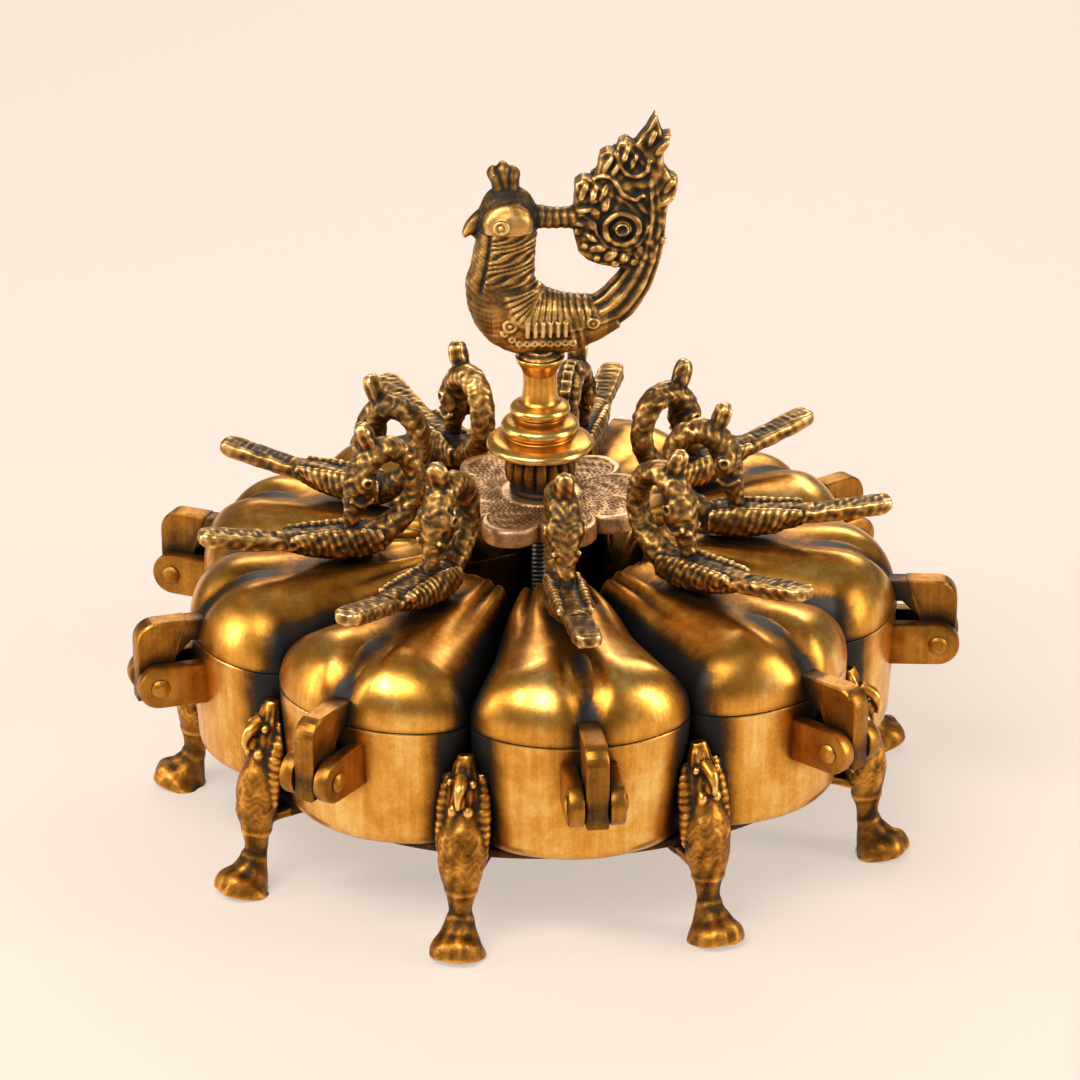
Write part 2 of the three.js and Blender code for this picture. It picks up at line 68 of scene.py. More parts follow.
HINGES = {j["child"]: j for j in frame["joints"] if j["name"].endswith("_hinge")}
PETALS = len(HINGES)
HALF_PETAL = math.pi / PETALS
PIN_X = np.hypot(*HINGES["lid_1"]["pos_m"][:2]) / MM
PIN_Z = HINGES["lid_1"]["pos_m"][2] / MM
CUP_UNDER, CUP_RIM = box_mm("cup_1")[0][2], box_mm("cup_1")[1][2]
RIDGE = box_mm("lid_1")[1][2]
BIRD_SEAT = box_mm("bird_1")[0][2]
BASE_UNDER, BASE_TOP = box_mm("base_plate")[0][2], box_mm("base_plate")[1][2]
BASE_RADIUS = box_mm("base_plate")[1][0]
CLAMP_LOW, CLAMP_HIGH = box_mm("clamp_plate")
ROD_LOW, ROD_HIGH = box_mm("centre_rod")
ROD_RADIUS = ROD_HIGH[0]
PEACOCK_BASE = box_mm("peacock")[0][2]

# The rest repeats the sizes of the solids.
GAP = 0.3
PIN_OUTSET = 13.3
PETAL_REACH = PIN_X - PIN_OUTSET
VALLEY_DEPTH = 15.4
FOOT_OUTSET = 19.0
PETAL_ROUNDNESS = 1.8
INNER_END = 32.0
GATHER_LENGTH, GATHER = 26.0, 0.12  # wider at the inner end than the solids
SEAM = CUP_RIM + GAP
LID_RISE = RIDGE - SEAM
STOP_CLEARANCE, HEEL_ANGLE = 0.5, -150.0
LID_WALL, CUP_WALL, CUP_FLOOR, CUP_DRAFT = 2.2, 2.4, 2.6, 2.0
LID_END_ROUND, LID_TIP_ROUND, LID_SQUARENESS = 23.0, 8.0, 2.3
ARM_HALF, ARM_THICKNESS, KNUCKLE = 3.5, 8.0, 6.0
EAR_INNER, EAR_THICKNESS, EAR_RADIUS = 3.9, 4.8, 6.9
PIN_RADIUS, PIN_HEAD, PIN_BORE = 2.0, 3.1, 2.3
CLAMP_RADIUS, CLAMP_LOBES, CLAMP_LOBE_DEPTH, CLAMP_PHASE = 35.5, 9, 9.0, math.radians(17 - 90)
PEACOCK_LONG, PEACOCK_TALL = 59.2 / 61.7, 81.5 / 89.6  # the stations below are for a larger figure
CAST_VOXEL = 0.42  # grid of the skin over the cast figures


# ---------- mesh tools: a part is (vertices, faces), in millimetres ----------
def smooth_step(low, high, x):
    t = np.clip((np.asarray(x, float) - low) / (high - low), 0, 1)
    return t * t * (3 - 2 * t)


def within(x, start, full, fade, end):
    """1 between full and fade, 0 before the start and past the end."""
    return smooth_step(start, full, x) * (1 - smooth_step(fade, end, x))


def bump(x, middle, width):
    """1 at the middle, falling off as a bell."""
    return np.exp(-(((np.asarray(x, float) - middle) / width) ** 2))


def grid(points):
    """A skin over rings (ring, place on ring, xyz), its two ends closed by one face each."""
    rings, count = points.shape[:2]
    i, j = np.meshgrid(np.arange(rings - 1), np.arange(count), indexing="ij")
    a = (i * count + j).ravel()
    b = (i * count + (j + 1) % count).ravel()
    faces = np.stack([a, b, b + count, a + count], 1).tolist()
    faces.append(list(range(count))[::-1])
    faces.append(list(range((rings - 1) * count, rings * count)))
    return outward(points.reshape(-1, 3), faces)


def outward(vertices, faces):
    """The same part with its faces turned outward."""
    volume = 0.0
    for face in faces:
        fan = vertices[face]
        first = np.broadcast_to(fan[0], fan[2:].shape)
        volume += np.einsum("ij,ij->i", np.cross(fan[1:-1], fan[2:]), first).sum()
    return vertices, faces if volume > 0 else [face[::-1] for face in faces]


def join(*parts):
    """The parts side by side as one."""
    start, vertices, faces = 0, [], []
    for v, f in parts:
        vertices.append(v)
        faces += [[k + start for k in face] for face in f]
        start += len(v)
    return np.vstack(vertices), faces


def lathe(profile, sides=96, radius=None):
    """A turned part from (r, z) rows on or off the axis; radius(r, z, turn) may flute it."""
    profile = np.array(profile, float)
    turn = np.linspace(0, 2 * math.pi, sides, endpoint=False)
    r = np.repeat(profile[:, :1], sides, 1)
    z = np.repeat(profile[:, 1:], sides, 1)
    if radius:
        r = radius(r, z, turn[None, :])
    points = np.stack([r * np.cos(turn), r * np.sin(turn), z], -1)
    return ring_grid(points[:-1]) if np.allclose(profile[0], profile[-1]) else grid(points)


def ring_grid(points):
    """A skin closed both ways, for a turned part with a hole."""
    rings, count = points.shape[:2]
    i, j = np.meshgrid(np.arange(rings), np.arange(count), indexing="ij")
    at = lambda a, b: ((a % rings) * count + b % count).ravel()
    faces = np.stack([at(i, j), at(i, j + 1), at(i + 1, j + 1), at(i + 1, j)], 1).tolist()
    return outward(points.reshape(-1, 3), faces)


def rounded(profile, radius=0.4, steps=3):
    """An (r, z) outline with each corner eased by a small arc."""
    profile = np.array(profile, float)
    out = [profile[0]]
    for before, here, after in zip(profile, profile[1:], profile[2:]):
        a, b = before - here, after - here
        ease = min(radius, np.linalg.norm(a) / 2.2, np.linalg.norm(b) / 2.2)
        start, end = here + a / np.linalg.norm(a) * ease, here + b / np.linalg.norm(b) * ease
        for t in np.linspace(0, 1, steps + 1):
            out.append((1 - t) ** 2 * start + 2 * t * (1 - t) * here + t * t * end)
    return np.array(out + [profile[-1]])


def spline(rows, count):
    """Catmull-Rom through the rows, sampled at even steps of the first two columns' length."""
    rows = np.array(rows, float)
    rows = np.vstack([2 * rows[0] - rows[1], rows, 2 * rows[-1] - rows[-2]])
    fine = []
    for p0, p1, p2, p3 in zip(rows, rows[1:], rows[2:], rows[3:]):
        t = np.linspace(0, 1, 24, endpoint=False)[:, None]
        fine.append(0.5 * (2 * p1 + (p2 - p0) * t + (2 * p0 - 5 * p1 + 4 * p2 - p3) * t**2
            + (3 * p1 - p0 - 3 * p2 + p3) * t**3))
    fine = np.vstack(fine + [rows[-2][None]])
    along = np.concatenate([[0], np.cumsum(np.linalg.norm(np.diff(fine[:, :2], axis=0), axis=1))])
    even = np.linspace(0, along[-1], count)
    return np.stack([np.interp(even, along, column) for column in fine.T], 1), even


def limb(stations, steps=60, sides=32, pattern=None, square=1.0):
    """A cast limb along a path in the XZ plane. Station: x, z, half width in the plane, half thickness.
    pattern(s, t, turn) raises the skin, in mm, at length s, share t and angle turn."""
    rows, s = spline(stations, steps)
    turn = np.linspace(0, 2 * math.pi, sides, endpoint=False)
    tangent = np.gradient(rows[:, :2], axis=0)
    tangent /= np.linalg.norm(tangent, axis=1)[:, None] + 1e-9
    across = np.stack([-tangent[:, 1], tangent[:, 0]], 1)
    raised = np.zeros((steps, sides))
    if pattern:
        raised = pattern(s[:, None], (s / s[-1])[:, None], turn[None, :]) * np.ones((steps, sides))
    c = np.sign(np.cos(turn)) * np.abs(np.cos(turn)) ** square
    d = np.sign(np.sin(turn)) * np.abs(np.sin(turn)) ** square
    wide = np.maximum(rows[:, 2:3] + raised, 0.05) * c
    thick = np.maximum(rows[:, 3:4] + raised, 0.05) * d
    points = np.stack([rows[:, :1] + across[:, :1] * wide, thick, rows[:, 1:2] + across[:, 1:] * wide], -1)
    return grid(points)


def ball(at, radii, tilt=0.0, sides=24):
    """An ellipsoid at (x, y, z), tilted in the XZ plane."""
    lat = np.linspace(-math.pi / 2 + 0.05, math.pi / 2 - 0.05, sides // 2)[:, None]
    lon = np.linspace(0, 2 * math.pi, sides, endpoint=False)[None, :]
    x = radii[0] * np.cos(lat) * np.cos(lon)
    y = radii[1] * np.cos(lat) * np.sin(lon)
    z = radii[2] * np.sin(lat) * np.ones_like(lon)
    c, s = math.cos(tilt), math.sin(tilt)
    return grid(np.stack([at[0] + c * x + s * z, at[1] + y, at[2] - s * x + c * z], -1))


def hoop(at, big, small):
    """A ring standing in the XZ plane at (x, y, z)."""
    u = np.linspace(0, 2 * math.pi, 28, endpoint=False)[:, None]
    v = np.linspace(0, 2 * math.pi, 10, endpoint=False)[None, :]
    r = big + small * np.cos(v)
    x, y, z = at[0] + r * np.cos(u), at[1] + small * np.sin(v) + 0 * u, at[2] + r * np.sin(u)
    return ring_grid(np.stack([x, y, z], -1))


def plate_xz(outline, low, high, ease=0.5):
    """A flat plate in the XZ plane between two values of y, with eased edges."""
    outline = np.array(outline, float)
    ahead, behind = np.roll(outline, -1, 0) - outline, outline - np.roll(outline, 1, 0)
    ahead /= np.linalg.norm(ahead, axis=1)[:, None]
    behind /= np.linalg.norm(behind, axis=1)[:, None]
    inward = np.stack([-(ahead + behind)[:, 1], (ahead + behind)[:, 0]], 1)
    inward /= np.linalg.norm(inward, axis=1)[:, None]
    area = np.sum(outline[:, 0] * np.roll(outline[:, 1], -1) - np.roll(outline[:, 0], -1) * outline[:, 1])
    inward *= 1 if area > 0 else -1
    rings = []
    for y, cut in ((low, ease), (low + ease * 0.3, ease * 0.3), (low + ease, 0), (high - ease, 0),
            (high - ease * 0.3, ease * 0.3), (high, ease)):
        flat = outline + inward * cut
        rings.append(np.stack([flat[:, 0], np.full(len(flat), y), flat[:, 1]], 1))
    return grid(np.array(rings))


def bored_plate(outline, at, bore, low, high, ease=0.5):
    """A flat plate in the XZ plane with a round hole; the outline goes once round the hole's centre."""
    corners, at = np.array(outline, float), np.array(at, float)
    steps = np.linspace(0, 1, 6, endpoint=False)[:, None]  # short steps keep the hole round
    sides = zip(corners, np.roll(corners, -1, 0))
    outline = np.concatenate([here + (there - here) * steps for here, there in sides])
    away = outline - at
    reach = np.linalg.norm(away, axis=1)[:, None]
    rim = at + away / reach * bore
    rings = []
    for y, edge in ((low, rim), (low, outline - away / reach * ease), (low + ease, outline),
            (high - ease, outline), (high, outline - away / reach * ease), (high, rim)):
        rings.append(np.stack([edge[:, 0], np.full(len(edge), y), edge[:, 1]], 1))
    return ring_grid(np.array(rings))


def arc(at, radius, start, end, steps=10):
    """Points of an arc, its angles in degrees."""
    return [(at[0] + radius * math.cos(a), at[1] + radius * math.sin(a))
            for a in np.radians(np.linspace(start, end, steps))]


def move(part, shift):
    return part[0] + np.array(shift, float), part[1]


def turned(part, angle):
    """The part turned round the central axis."""
    c, s = math.cos(angle), math.sin(angle)
    v = part[0]
    return np.stack([v[:, 0] * c - v[:, 1] * s, v[:, 0] * s + v[:, 1] * c, v[:, 2]], 1), part[1]


def blender_mesh(name, vertices, faces):
    mesh = bpy.data.meshes.new(name)
    mesh.from_pydata(vertices.tolist(), [], faces)
    return mesh


def skin_over(parts, voxel=CAST_VOXEL):
    """One closed skin over overlapping parts, as a casting has, on a fine grid."""
    mesh = blender_mesh("skin", *join(*parts))
    rough = bpy.data.objects.new("skin", mesh)
    bpy.context.collection.objects.link(rough)
    remesh = rough.modifiers.new("skin", "REMESH")
    remesh.mode = "VOXEL"
    remesh.voxel_size = voxel
    evaluated = rough.evaluated_get(bpy.context.evaluated_depsgraph_get())
    done = bpy.data.meshes.new_from_object(evaluated)
    vertices = np.empty(len(done.vertices) * 3)
    done.vertices.foreach_get("co", vertices)
    corners = np.empty(len(done.loops), np.int32)
    done.loops.foreach_get("vertex_index", corners)
    vertices, faces = vertices.reshape(-1, 3), corners.reshape(-1, 4)
    bpy.data.objects.remove(rough)
    bpy.data.meshes.remove(mesh)
    bpy.data.meshes.remove(done)
    return relax(vertices, edges_of(faces), 2, 0.35), faces.tolist()


def edges_of(faces):
    count = faces.shape[1]
    edges = np.vstack([faces[:, [k, (k + 1) % count]] for k in range(count)])
    return np.unique(np.sort(edges, 1), axis=0)


def relax(vertices, edges, rounds, share=0.5):
    """Each round moves every vertex a share of the way to the mean of its neighbours."""
    count = len(vertices)
    degree = np.maximum(np.bincount(edges.ravel(), minlength=count), 1)[:, None]
    for _ in range(rounds):
        total = np.stack([
            np.bincount(edges[:, 0], vertices[edges[:, 1], k], count)
            + np.bincount(edges[:, 1], vertices[edges[:, 0], k], count)
            for k in range(3)], 1)
        vertices = vertices + share * (total / degree - vertices)
    return vertices


def normals_of(vertices, faces):
    quads = np.array([f[:4] if len(f) >= 4 else [*f, f[-1]] for f in faces])
    a, b, c, d = (vertices[quads[:, k]] for k in range(4))
    across, corners = np.cross(c - a, d - b), quads.ravel()
    out = np.stack([np.bincount(corners, np.repeat(column, 4), len(vertices)) for column in across.T], 1)
    return out / (np.linalg.norm(out, axis=1)[:, None] + 1e-12)


def height_of_skin(part, rounds):
    """How far each vertex stands above the skin smoothed over its neighbours: rubbed where high."""
    vertices, faces = part
    quads = np.array([f for f in faces if len(f) == 4])
    soft = relax(vertices, edges_of(quads), rounds)
    return np.einsum("ij,ij->i", vertices - soft, normals_of(vertices, faces))


def cast_wear(part, base=0.5, fine=5.0, broad=0.55):
    """Share of bright metal on a casting: high spots are rubbed, hollows keep their patina."""
    wear_and_shade = base + fine * height_of_skin(part, 5) + broad * height_of_skin(part, 40)
    return np.clip(wear_and_shade, 0, 1)


def piece(name, part, body, finish, wear_and_shade, stands_for):
    """Adds a part to the scene on its body, in place of a node of the frame."""
    vertices, faces = part
    slot, material = finish
    mesh = blender_mesh(name, vertices * MM, faces)
    # the per-vertex value holds rubbed wear and, on the cups, lids, feet and plate, painted shade
    shade = mesh.attributes.new("wear_and_shade", "FLOAT", "POINT")
    shade.data.foreach_set("value", np.broadcast_to(np.asarray(wear_and_shade, np.float32), (len(vertices),)).copy())
    mesh.polygons.foreach_set("use_smooth", [True] * len(faces))
    mesh.materials.append(material)
    mesh.update()
    mesh.set_sharp_from_angle(angle=math.radians(42))
    made = bpy.data.objects.new(name, mesh)
    bpy.context.collection.objects.link(made)
    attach(made, body)
    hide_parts(stands_for)
    return made


# ---------- materials ----------
def node(tree, kind, **sockets):
    """A new node; each socket is given a value or another node's output."""
    made = tree.nodes.new(kind)
    for name, value in sockets.items():
        target = made.inputs[name.replace("_", " ")]
        if isinstance(value, bpy.types.NodeSocket):
            tree.links.new(value, target)
        else:
            target.default_value = value
    return made


def math_node(tree, operation, a, b=0.0, clamp=False):
    made = tree.nodes.new("ShaderNodeMath")
    made.operation = operation
    made.use_clamp = clamp
    for socket, value in zip(made.inputs, (a, b)):
        if isinstance(value, bpy.types.NodeSocket):
            tree.links.new(value, socket)
        else:
            socket.default_value = value
    return made.outputs[0]


def remap(tree, value, low, high, to_low, to_high):
    made = node(tree, "ShaderNodeMapRange", Value=value, From_Min=low, From_Max=high, To_Min=to_low,
        To_Max=to_high)
    return made.outputs["Result"]


def noise(tree, coords, scale, detail=4.0, rough=0.55, distortion=0.0):
    made = node(tree, "ShaderNodeTexNoise", Vector=coords, Scale=scale, Detail=detail, Roughness=rough,
                Distortion=distortion)
    return made.outputs["Fac"]


def metal(name, ramp, rough, mottle, speckle, pits, grain=0.08, shelter=0.0, streak=0.0, slot=None):
    """Brass under a dark patina. The per-vertex attribute of rubbed wear and painted shade, with the noises,
    chooses the place on the ramp, from sheltered and dark to rubbed and bright; its gloss follows the same
    value. Gives the record's slot and the material."""
    made = bpy.data.materials.new(name)
    made.use_nodes = True
    tree = made.node_tree
    tree.nodes.clear()
    out = tree.nodes.new("ShaderNodeOutputMaterial")
    shader = node(tree, "ShaderNodeBsdfPrincipled")
    coords = tree.nodes.new("ShaderNodeTexCoord").outputs["Object"]
    attribute = tree.nodes.new("ShaderNodeAttribute")
    attribute.attribute_name = "wear_and_shade"
    wear_and_shade = attribute.outputs["Fac"]
    cloud = noise(tree, coords, 38.0, 5.0, 0.6, 0.6)
    patch = noise(tree, coords, 150.0, 5.0, 0.62, 0.3)
    fine = noise(tree, coords, 1100.0, 4.0, 0.6)
    value = math_node(tree, "ADD", wear_and_shade, remap(tree, cloud, 0.3, 0.7, -mottle / 2, mottle / 2))
    value = math_node(tree, "ADD", value, remap(tree, patch, 0.3, 0.7, -speckle / 2, speckle / 2))
    value = math_node(tree, "ADD", value, remap(tree, fine, 0.3, 0.7, -grain / 2, grain / 2))
    # painted reflection: long vertical streaks in the tone, standing in for streaked reflections down the
    # polished faces
    if streak:
        streak_mapping = tree.nodes.new("ShaderNodeMapping")
        tree.links.new(coords, streak_mapping.inputs["Vector"])
        streak_mapping.inputs["Scale"].default_value = (1.0, 1.0, 0.04)
        reflection_streaks = noise(tree, streak_mapping.outputs["Vector"], 420.0, 3.0, 0.6)
        value = math_node(tree, "ADD", value, remap(tree, reflection_streaks, 0.3, 0.7, -streak / 2, streak / 2))
    if shelter:
        corners = node(tree, "ShaderNodeAmbientOcclusion", Distance=0.011)
        corners.samples = 6
        hidden = math_node(tree, "SUBTRACT", 1.0, corners.outputs["AO"])
        value = math_node(tree, "SUBTRACT", value, math_node(tree, "MULTIPLY", hidden, shelter))
    value = math_node(tree, "MAXIMUM", math_node(tree, "MINIMUM", value, 1.0), 0.0)
    colours = tree.nodes.new("ShaderNodeValToRGB")
    tree.links.new(value, colours.inputs["Fac"])
    stops = colours.color_ramp.elements
    while len(stops) < len(ramp):
        stops.new(0.5)
    for stop, (place, colour) in zip(stops, ramp):
        stop.position = place
        stop.color = (*colour, 1)
    tree.links.new(colours.outputs["Color"], shader.inputs["Base Color"])
    gloss = remap(tree, value, 0.15, 0.85, *rough)
    gloss = math_node(tree, "ADD", gloss, remap(tree, patch, 0.3, 0.7, -0.05, 0.05), clamp=True)
    tree.links.new(gloss, shader.inputs["Roughness"])
    tree.links.new(remap(tree, value, 0.0, 0.35, 0.55, 1.0), shader.inputs["Metallic"])
    relief = math_node(tree, "ADD", math_node(tree, "MULTIPLY", fine, 0.5), patch)
    dents = node(tree, "ShaderNodeBump", Height=relief, Strength=pits, Distance=0.0006)
    tree.links.new(dents.outputs["Normal"], shader.inputs["Normal"])
    tree.links.new(shader.outputs["BSDF"], out.inputs["Surface"])
    return slot or name, made


SOOT = (0.010, 0.009, 0.009)
UMBER = (0.065, 0.032, 0.010)
BRONZE = (0.34, 0.140, 0.020)
GOLD = (0.73, 0.335, 0.050)
SHINE = (0.95, 0.62, 0.19)

polished = metal("polished_brass", [(0.0, SOOT), (0.22, UMBER), (0.48, BRONZE), (0.78, GOLD), (1.0, SHINE)],
    rough=(0.5, 0.29), mottle=0.24, speckle=0.16, pits=0.10, shelter=0.5, streak=0.14)
antique = metal("antique_brass", [(0.0, SOOT), (0.26, UMBER), (0.52, BRONZE), (0.78, GOLD), (1.0, SHINE)],
    rough=(0.62, 0.34), mottle=0.26, speckle=0.26, pits=0.3, grain=0.14, shelter=0.3)
aged = metal("aged_brass", [(0.0, SOOT), (0.26, (0.052, 0.036, 0.020)), (0.52, (0.235, 0.120, 0.034)),
    (0.78, (0.60, 0.33, 0.090)), (1.0, (0.90, 0.65, 0.30))], rough=(0.6, 0.36), mottle=0.26, speckle=0.3,
    pits=0.35, grain=0.16, shelter=0.3, slot="antique_brass")
turned_metal = metal("turned_brass", [(0.0, SOOT), (0.22, UMBER), (0.45, BRONZE), (0.75, GOLD),
    (1.0, SHINE)], rough=(0.46, 0.28), mottle=0.2, speckle=0.12, pits=0.05, shelter=0.6)
engraved = metal("engraved_brass", [(0.0, UMBER), (0.35, (0.27, 0.135, 0.050)), (0.6, (0.60, 0.36, 0.18)),
    (0.85, (0.86, 0.56, 0.31)), (1.0, SHINE)], rough=(0.6, 0.42), mottle=0.3, speckle=0.4, pits=0.5,
    grain=0.3, shelter=0.3)
steel = metal("rod_steel", [(0.0, SOOT), (0.3, (0.05, 0.045, 0.04)), (0.6, (0.22, 0.20, 0.17)),
    (1.0, (0.60, 0.57, 0.52))], rough=(0.6, 0.3), mottle=0.2, speckle=0.2, pits=0.15)


# ---------- petals: outline, cup, lid, hinge ----------
def petal_outline(inset, straight=16, end=26):
    """Stations (x, half width) from the inner end to the outer end."""
    side = GAP / 2 + inset
    valley = PETAL_REACH - VALLEY_DEPTH - inset
    valley_x = valley * math.cos(HALF_PETAL - math.asin(side / valley))
    share = np.linspace(0, 1, straight, endpoint=False) ** 1.6
    x = INNER_END + inset + (valley_x - INNER_END - inset) * share
    half = HALF_PETAL - np.arcsin(side / x)
    opened = np.clip((x - INNER_END) / GATHER_LENGTH, 0, 1)
    corner = 1 - 0.35 * np.clip(1 - (x - x[0]) / 2.5, 0, 1) ** 2
    inner = np.stack([x, x * np.tan(half) * corner * (1 - GATHER * (1 - opened) ** 2)], 1)
    s = np.cos(np.linspace(0, math.pi / 2, end))
    s[-1] = 0.004
    r = valley + VALLEY_DEPTH * (1 - s**PETAL_ROUNDNESS) ** (1 / PETAL_ROUNDNESS)
    angle = s * (HALF_PETAL - np.arcsin(side / r))
    return np.vstack([inner, np.stack([r * np.cos(angle), r * np.sin(angle)], 1)])


def petal_ring(inset, z):
    rows = petal_outline(inset)
    both = np.vstack([rows, rows[::-1] * [1, -1]])
    return np.column_stack([both, np.full(len(both), z)])


def ear_plate(side):
    root = PETAL_REACH - CUP_DRAFT - CUP_WALL / 2
    outline = [(root, PIN_Z - EAR_RADIUS), *arc((PIN_X, PIN_Z), EAR_RADIUS, -90, 90, 16),
        (root, PIN_Z + EAR_RADIUS)]
    low, high = sorted((side * EAR_INNER, side * (EAR_INNER + EAR_THICKNESS)))
    return plate_xz(outline, low, high, 0.7)


def cup_part():
    """The open cup with eased rim and foot, its ears and the stop block between them."""
    rings = []
    for inset, z in ((CUP_DRAFT + 3.4, CUP_UNDER), (CUP_DRAFT + 1.6, CUP_UNDER + 0.5),
            (CUP_DRAFT + 0.5, CUP_UNDER + 1.8), (CUP_DRAFT, CUP_UNDER + 4)):
        rings.append(petal_ring(inset, z))
    for share in np.linspace(0.15, 0.97, 9):
        rings.append(petal_ring(CUP_DRAFT * (1 - share), CUP_UNDER + 4 + (CUP_RIM - CUP_UNDER - 4) * share))
    for inset, drop in ((0.0, 0.5), (0.15, 0.15), (0.5, 0.0), (CUP_WALL - 0.4, 0.0), (CUP_WALL, 0.4)):
        rings.append(petal_ring(inset, CUP_RIM - drop))
    for inset, z in ((CUP_WALL + CUP_DRAFT, CUP_UNDER + CUP_FLOOR + 3), (CUP_WALL + CUP_DRAFT + 0.8,
            CUP_UNDER + CUP_FLOOR + 0.8), (CUP_WALL + CUP_DRAFT + 3, CUP_UNDER + CUP_FLOOR)):
        rings.append(petal_ring(inset, z))
    body = grid(np.array(rings))
    root = PETAL_REACH - CUP_DRAFT - CUP_WALL / 2
    stop_face = PIN_X + math.hypot(KNUCKLE, KNUCKLE) * math.cos(math.radians(HEEL_ANGLE)) - STOP_CLEARANCE
    stop = plate_xz([(root, PIN_Z - EAR_RADIUS), (stop_face, PIN_Z - EAR_RADIUS), (stop_face, PIN_Z - 1),
        (root, PIN_Z - 1)], -EAR_INNER - 0.5, EAR_INNER + 0.5, 0.3)
    return join(body, ear_plate(1), ear_plate(-1), stop)


def cup_wear_and_shade(v):
    """Bright on the petal's face; painted shade down the valleys and round the ears; darker behind the hinge
    and inside.
    """
    r = np.hypot(v[:, 0], v[:, 1])
    share = np.abs(np.arctan2(v[:, 1], v[:, 0])) / HALF_PETAL
    # painted shade down the valleys between the petals
    valley = smooth_step(0.60, 0.88, share)
    wear_and_shade = 0.86 - 0.91 * valley * (1 - smooth_step(PETAL_REACH + 1, PETAL_REACH + 2, r))
    behind_hinge = smooth_step(CUP_RIM - 26, CUP_RIM - 16, v[:, 2]) * (r < PETAL_REACH + 1.5)
    wear_and_shade -= 0.45 * bump(v[:, 1], 0, 8) * behind_hinge
    wear_and_shade += 0.10 * smooth_step(CUP_RIM - 1.5, CUP_RIM, v[:, 2])
    wear_and_shade -= 0.12 * smooth_step(CUP_UNDER + 3, CUP_UNDER, v[:, 2])
    from_pin = np.hypot(v[:, 0] - PIN_X, v[:, 2] - PIN_Z)
    # painted shade at the ear's root by the cup and in a ring round the pin head
    ear = 0.54 - 0.3 * (r < PETAL_REACH + 6) - 0.25 * bump(from_pin, PIN_HEAD + 0.6, 1.6)
    wear_and_shade = np.where(r > PETAL_REACH + 1, ear, wear_and_shade)
    return np.where(r < PETAL_REACH - 18, 0.42, wear_and_shade)


def dome_rise(x, inset):
    """Height of a lid's ridge over the seam."""
    rise, end, tip = LID_RISE - inset, PETAL_REACH - inset, INNER_END + inset
    over_end = np.clip((x - (end - LID_END_ROUND)) / LID_END_ROUND, 0, 1)
    over_tip = np.clip((tip + LID_TIP_ROUND - x) / LID_TIP_ROUND, 0, 1)
    return np.maximum(rise * (1 - over_end**2.2) ** (1 / 2.2) * np.sqrt(1 - 0.9 * over_tip**2), 0.02)


def squareness(x):
    """Exponent of a lid's arched section: nearly flat-topped at the inner end, round further out."""
    return LID_SQUARENESS + 2.6 * (1 - smooth_step(40, 70, x))


def gathers(x, share):
    """Pleats at the inner end of a lid: 1 in a groove, 0 on a rib, fading towards the middle. The
    share runs from -1 to 1 across the lid."""
    fade = np.clip(1 - (x - INNER_END) / 50, 0, 1)
    return fade * (1 - np.abs(np.cos(2.5 * math.pi * share)) ** 0.8)


def lid_surface(inset, stations, across, relief):
    """Points (station, across, xyz) over the dome; relief adds gathered ribs and the end crease."""
    x, w = stations[:, :1], stations[:, 1:]
    turn = np.linspace(0, math.pi, across)[None, :]
    c, s = np.cos(turn), np.sin(turn)
    y_share = np.sign(c) * np.abs(c) ** (2 / squareness(x))
    z_share = np.abs(s) ** (2 / squareness(x))
    rise = dome_rise(x, inset)
    if relief:
        y_share[:, [0, -1]] *= 0.988
        drop = 3.3 * gathers(x, y_share) * s**0.7
        fold = 3.4 * smooth_step(70, 104, x) + 0.6 * smooth_step(50, 72, x)
        drop = drop + fold * bump(y_share * w, 0, 5.6) * smooth_step(0, 4, rise)
        scale = np.clip(1 - drop / np.maximum(rise, 3), 0.55, 1)
        y_scale = 1 - 0.5 * (1 - scale) * (x < 80)
    else:
        scale = y_scale = 1.0
    return np.stack([x + 0 * turn, w * y_share * y_scale, SEAM + rise * z_share * scale], -1)


def lid_part():
    outer_rows = petal_outline(0, 44, 34)
    inner_rows = petal_outline(LID_WALL, 44, 34)
    across = 61
    outer = lid_surface(0, outer_rows, across, True)
    inner_w = np.interp(outer_rows[:, 0], inner_rows[:, 0], inner_rows[:, 1], left=0.02, right=0.02)
    inner = lid_surface(LID_WALL, np.stack([outer_rows[:, 0], inner_w], 1), across, False)[:, ::-1]
    shell = grid(np.concatenate([outer, inner], 1))
    root, top = PETAL_REACH - 7, SEAM + ARM_THICKNESS
    bar = plate_xz([(root, SEAM + 0.6), (PETAL_REACH + 1.6, SEAM + 0.6), (PIN_X - KNUCKLE + 0.7,
        PIN_Z + KNUCKLE + 0.6), (PIN_X - 4, top - 0.3), (root, top - 0.3)],
        -ARM_HALF + 0.3, ARM_HALF - 0.3, 0.5)
    around = [(PIN_X - KNUCKLE, PIN_Z + KNUCKLE), *arc((PIN_X, PIN_Z), KNUCKLE, 180, 270, 12),
              (PIN_X + KNUCKLE, PIN_Z - KNUCKLE), *arc((PIN_X + KNUCKLE - 6.5, top - 6.5), 6.5, 0, 90, 9),
              (PETAL_REACH + 3, top)]
    arm = join(bar, bored_plate(around, (PIN_X, PIN_Z), PIN_BORE, -ARM_HALF, ARM_HALF, 0.6))
    return join(shell, arm), len(shell[0])


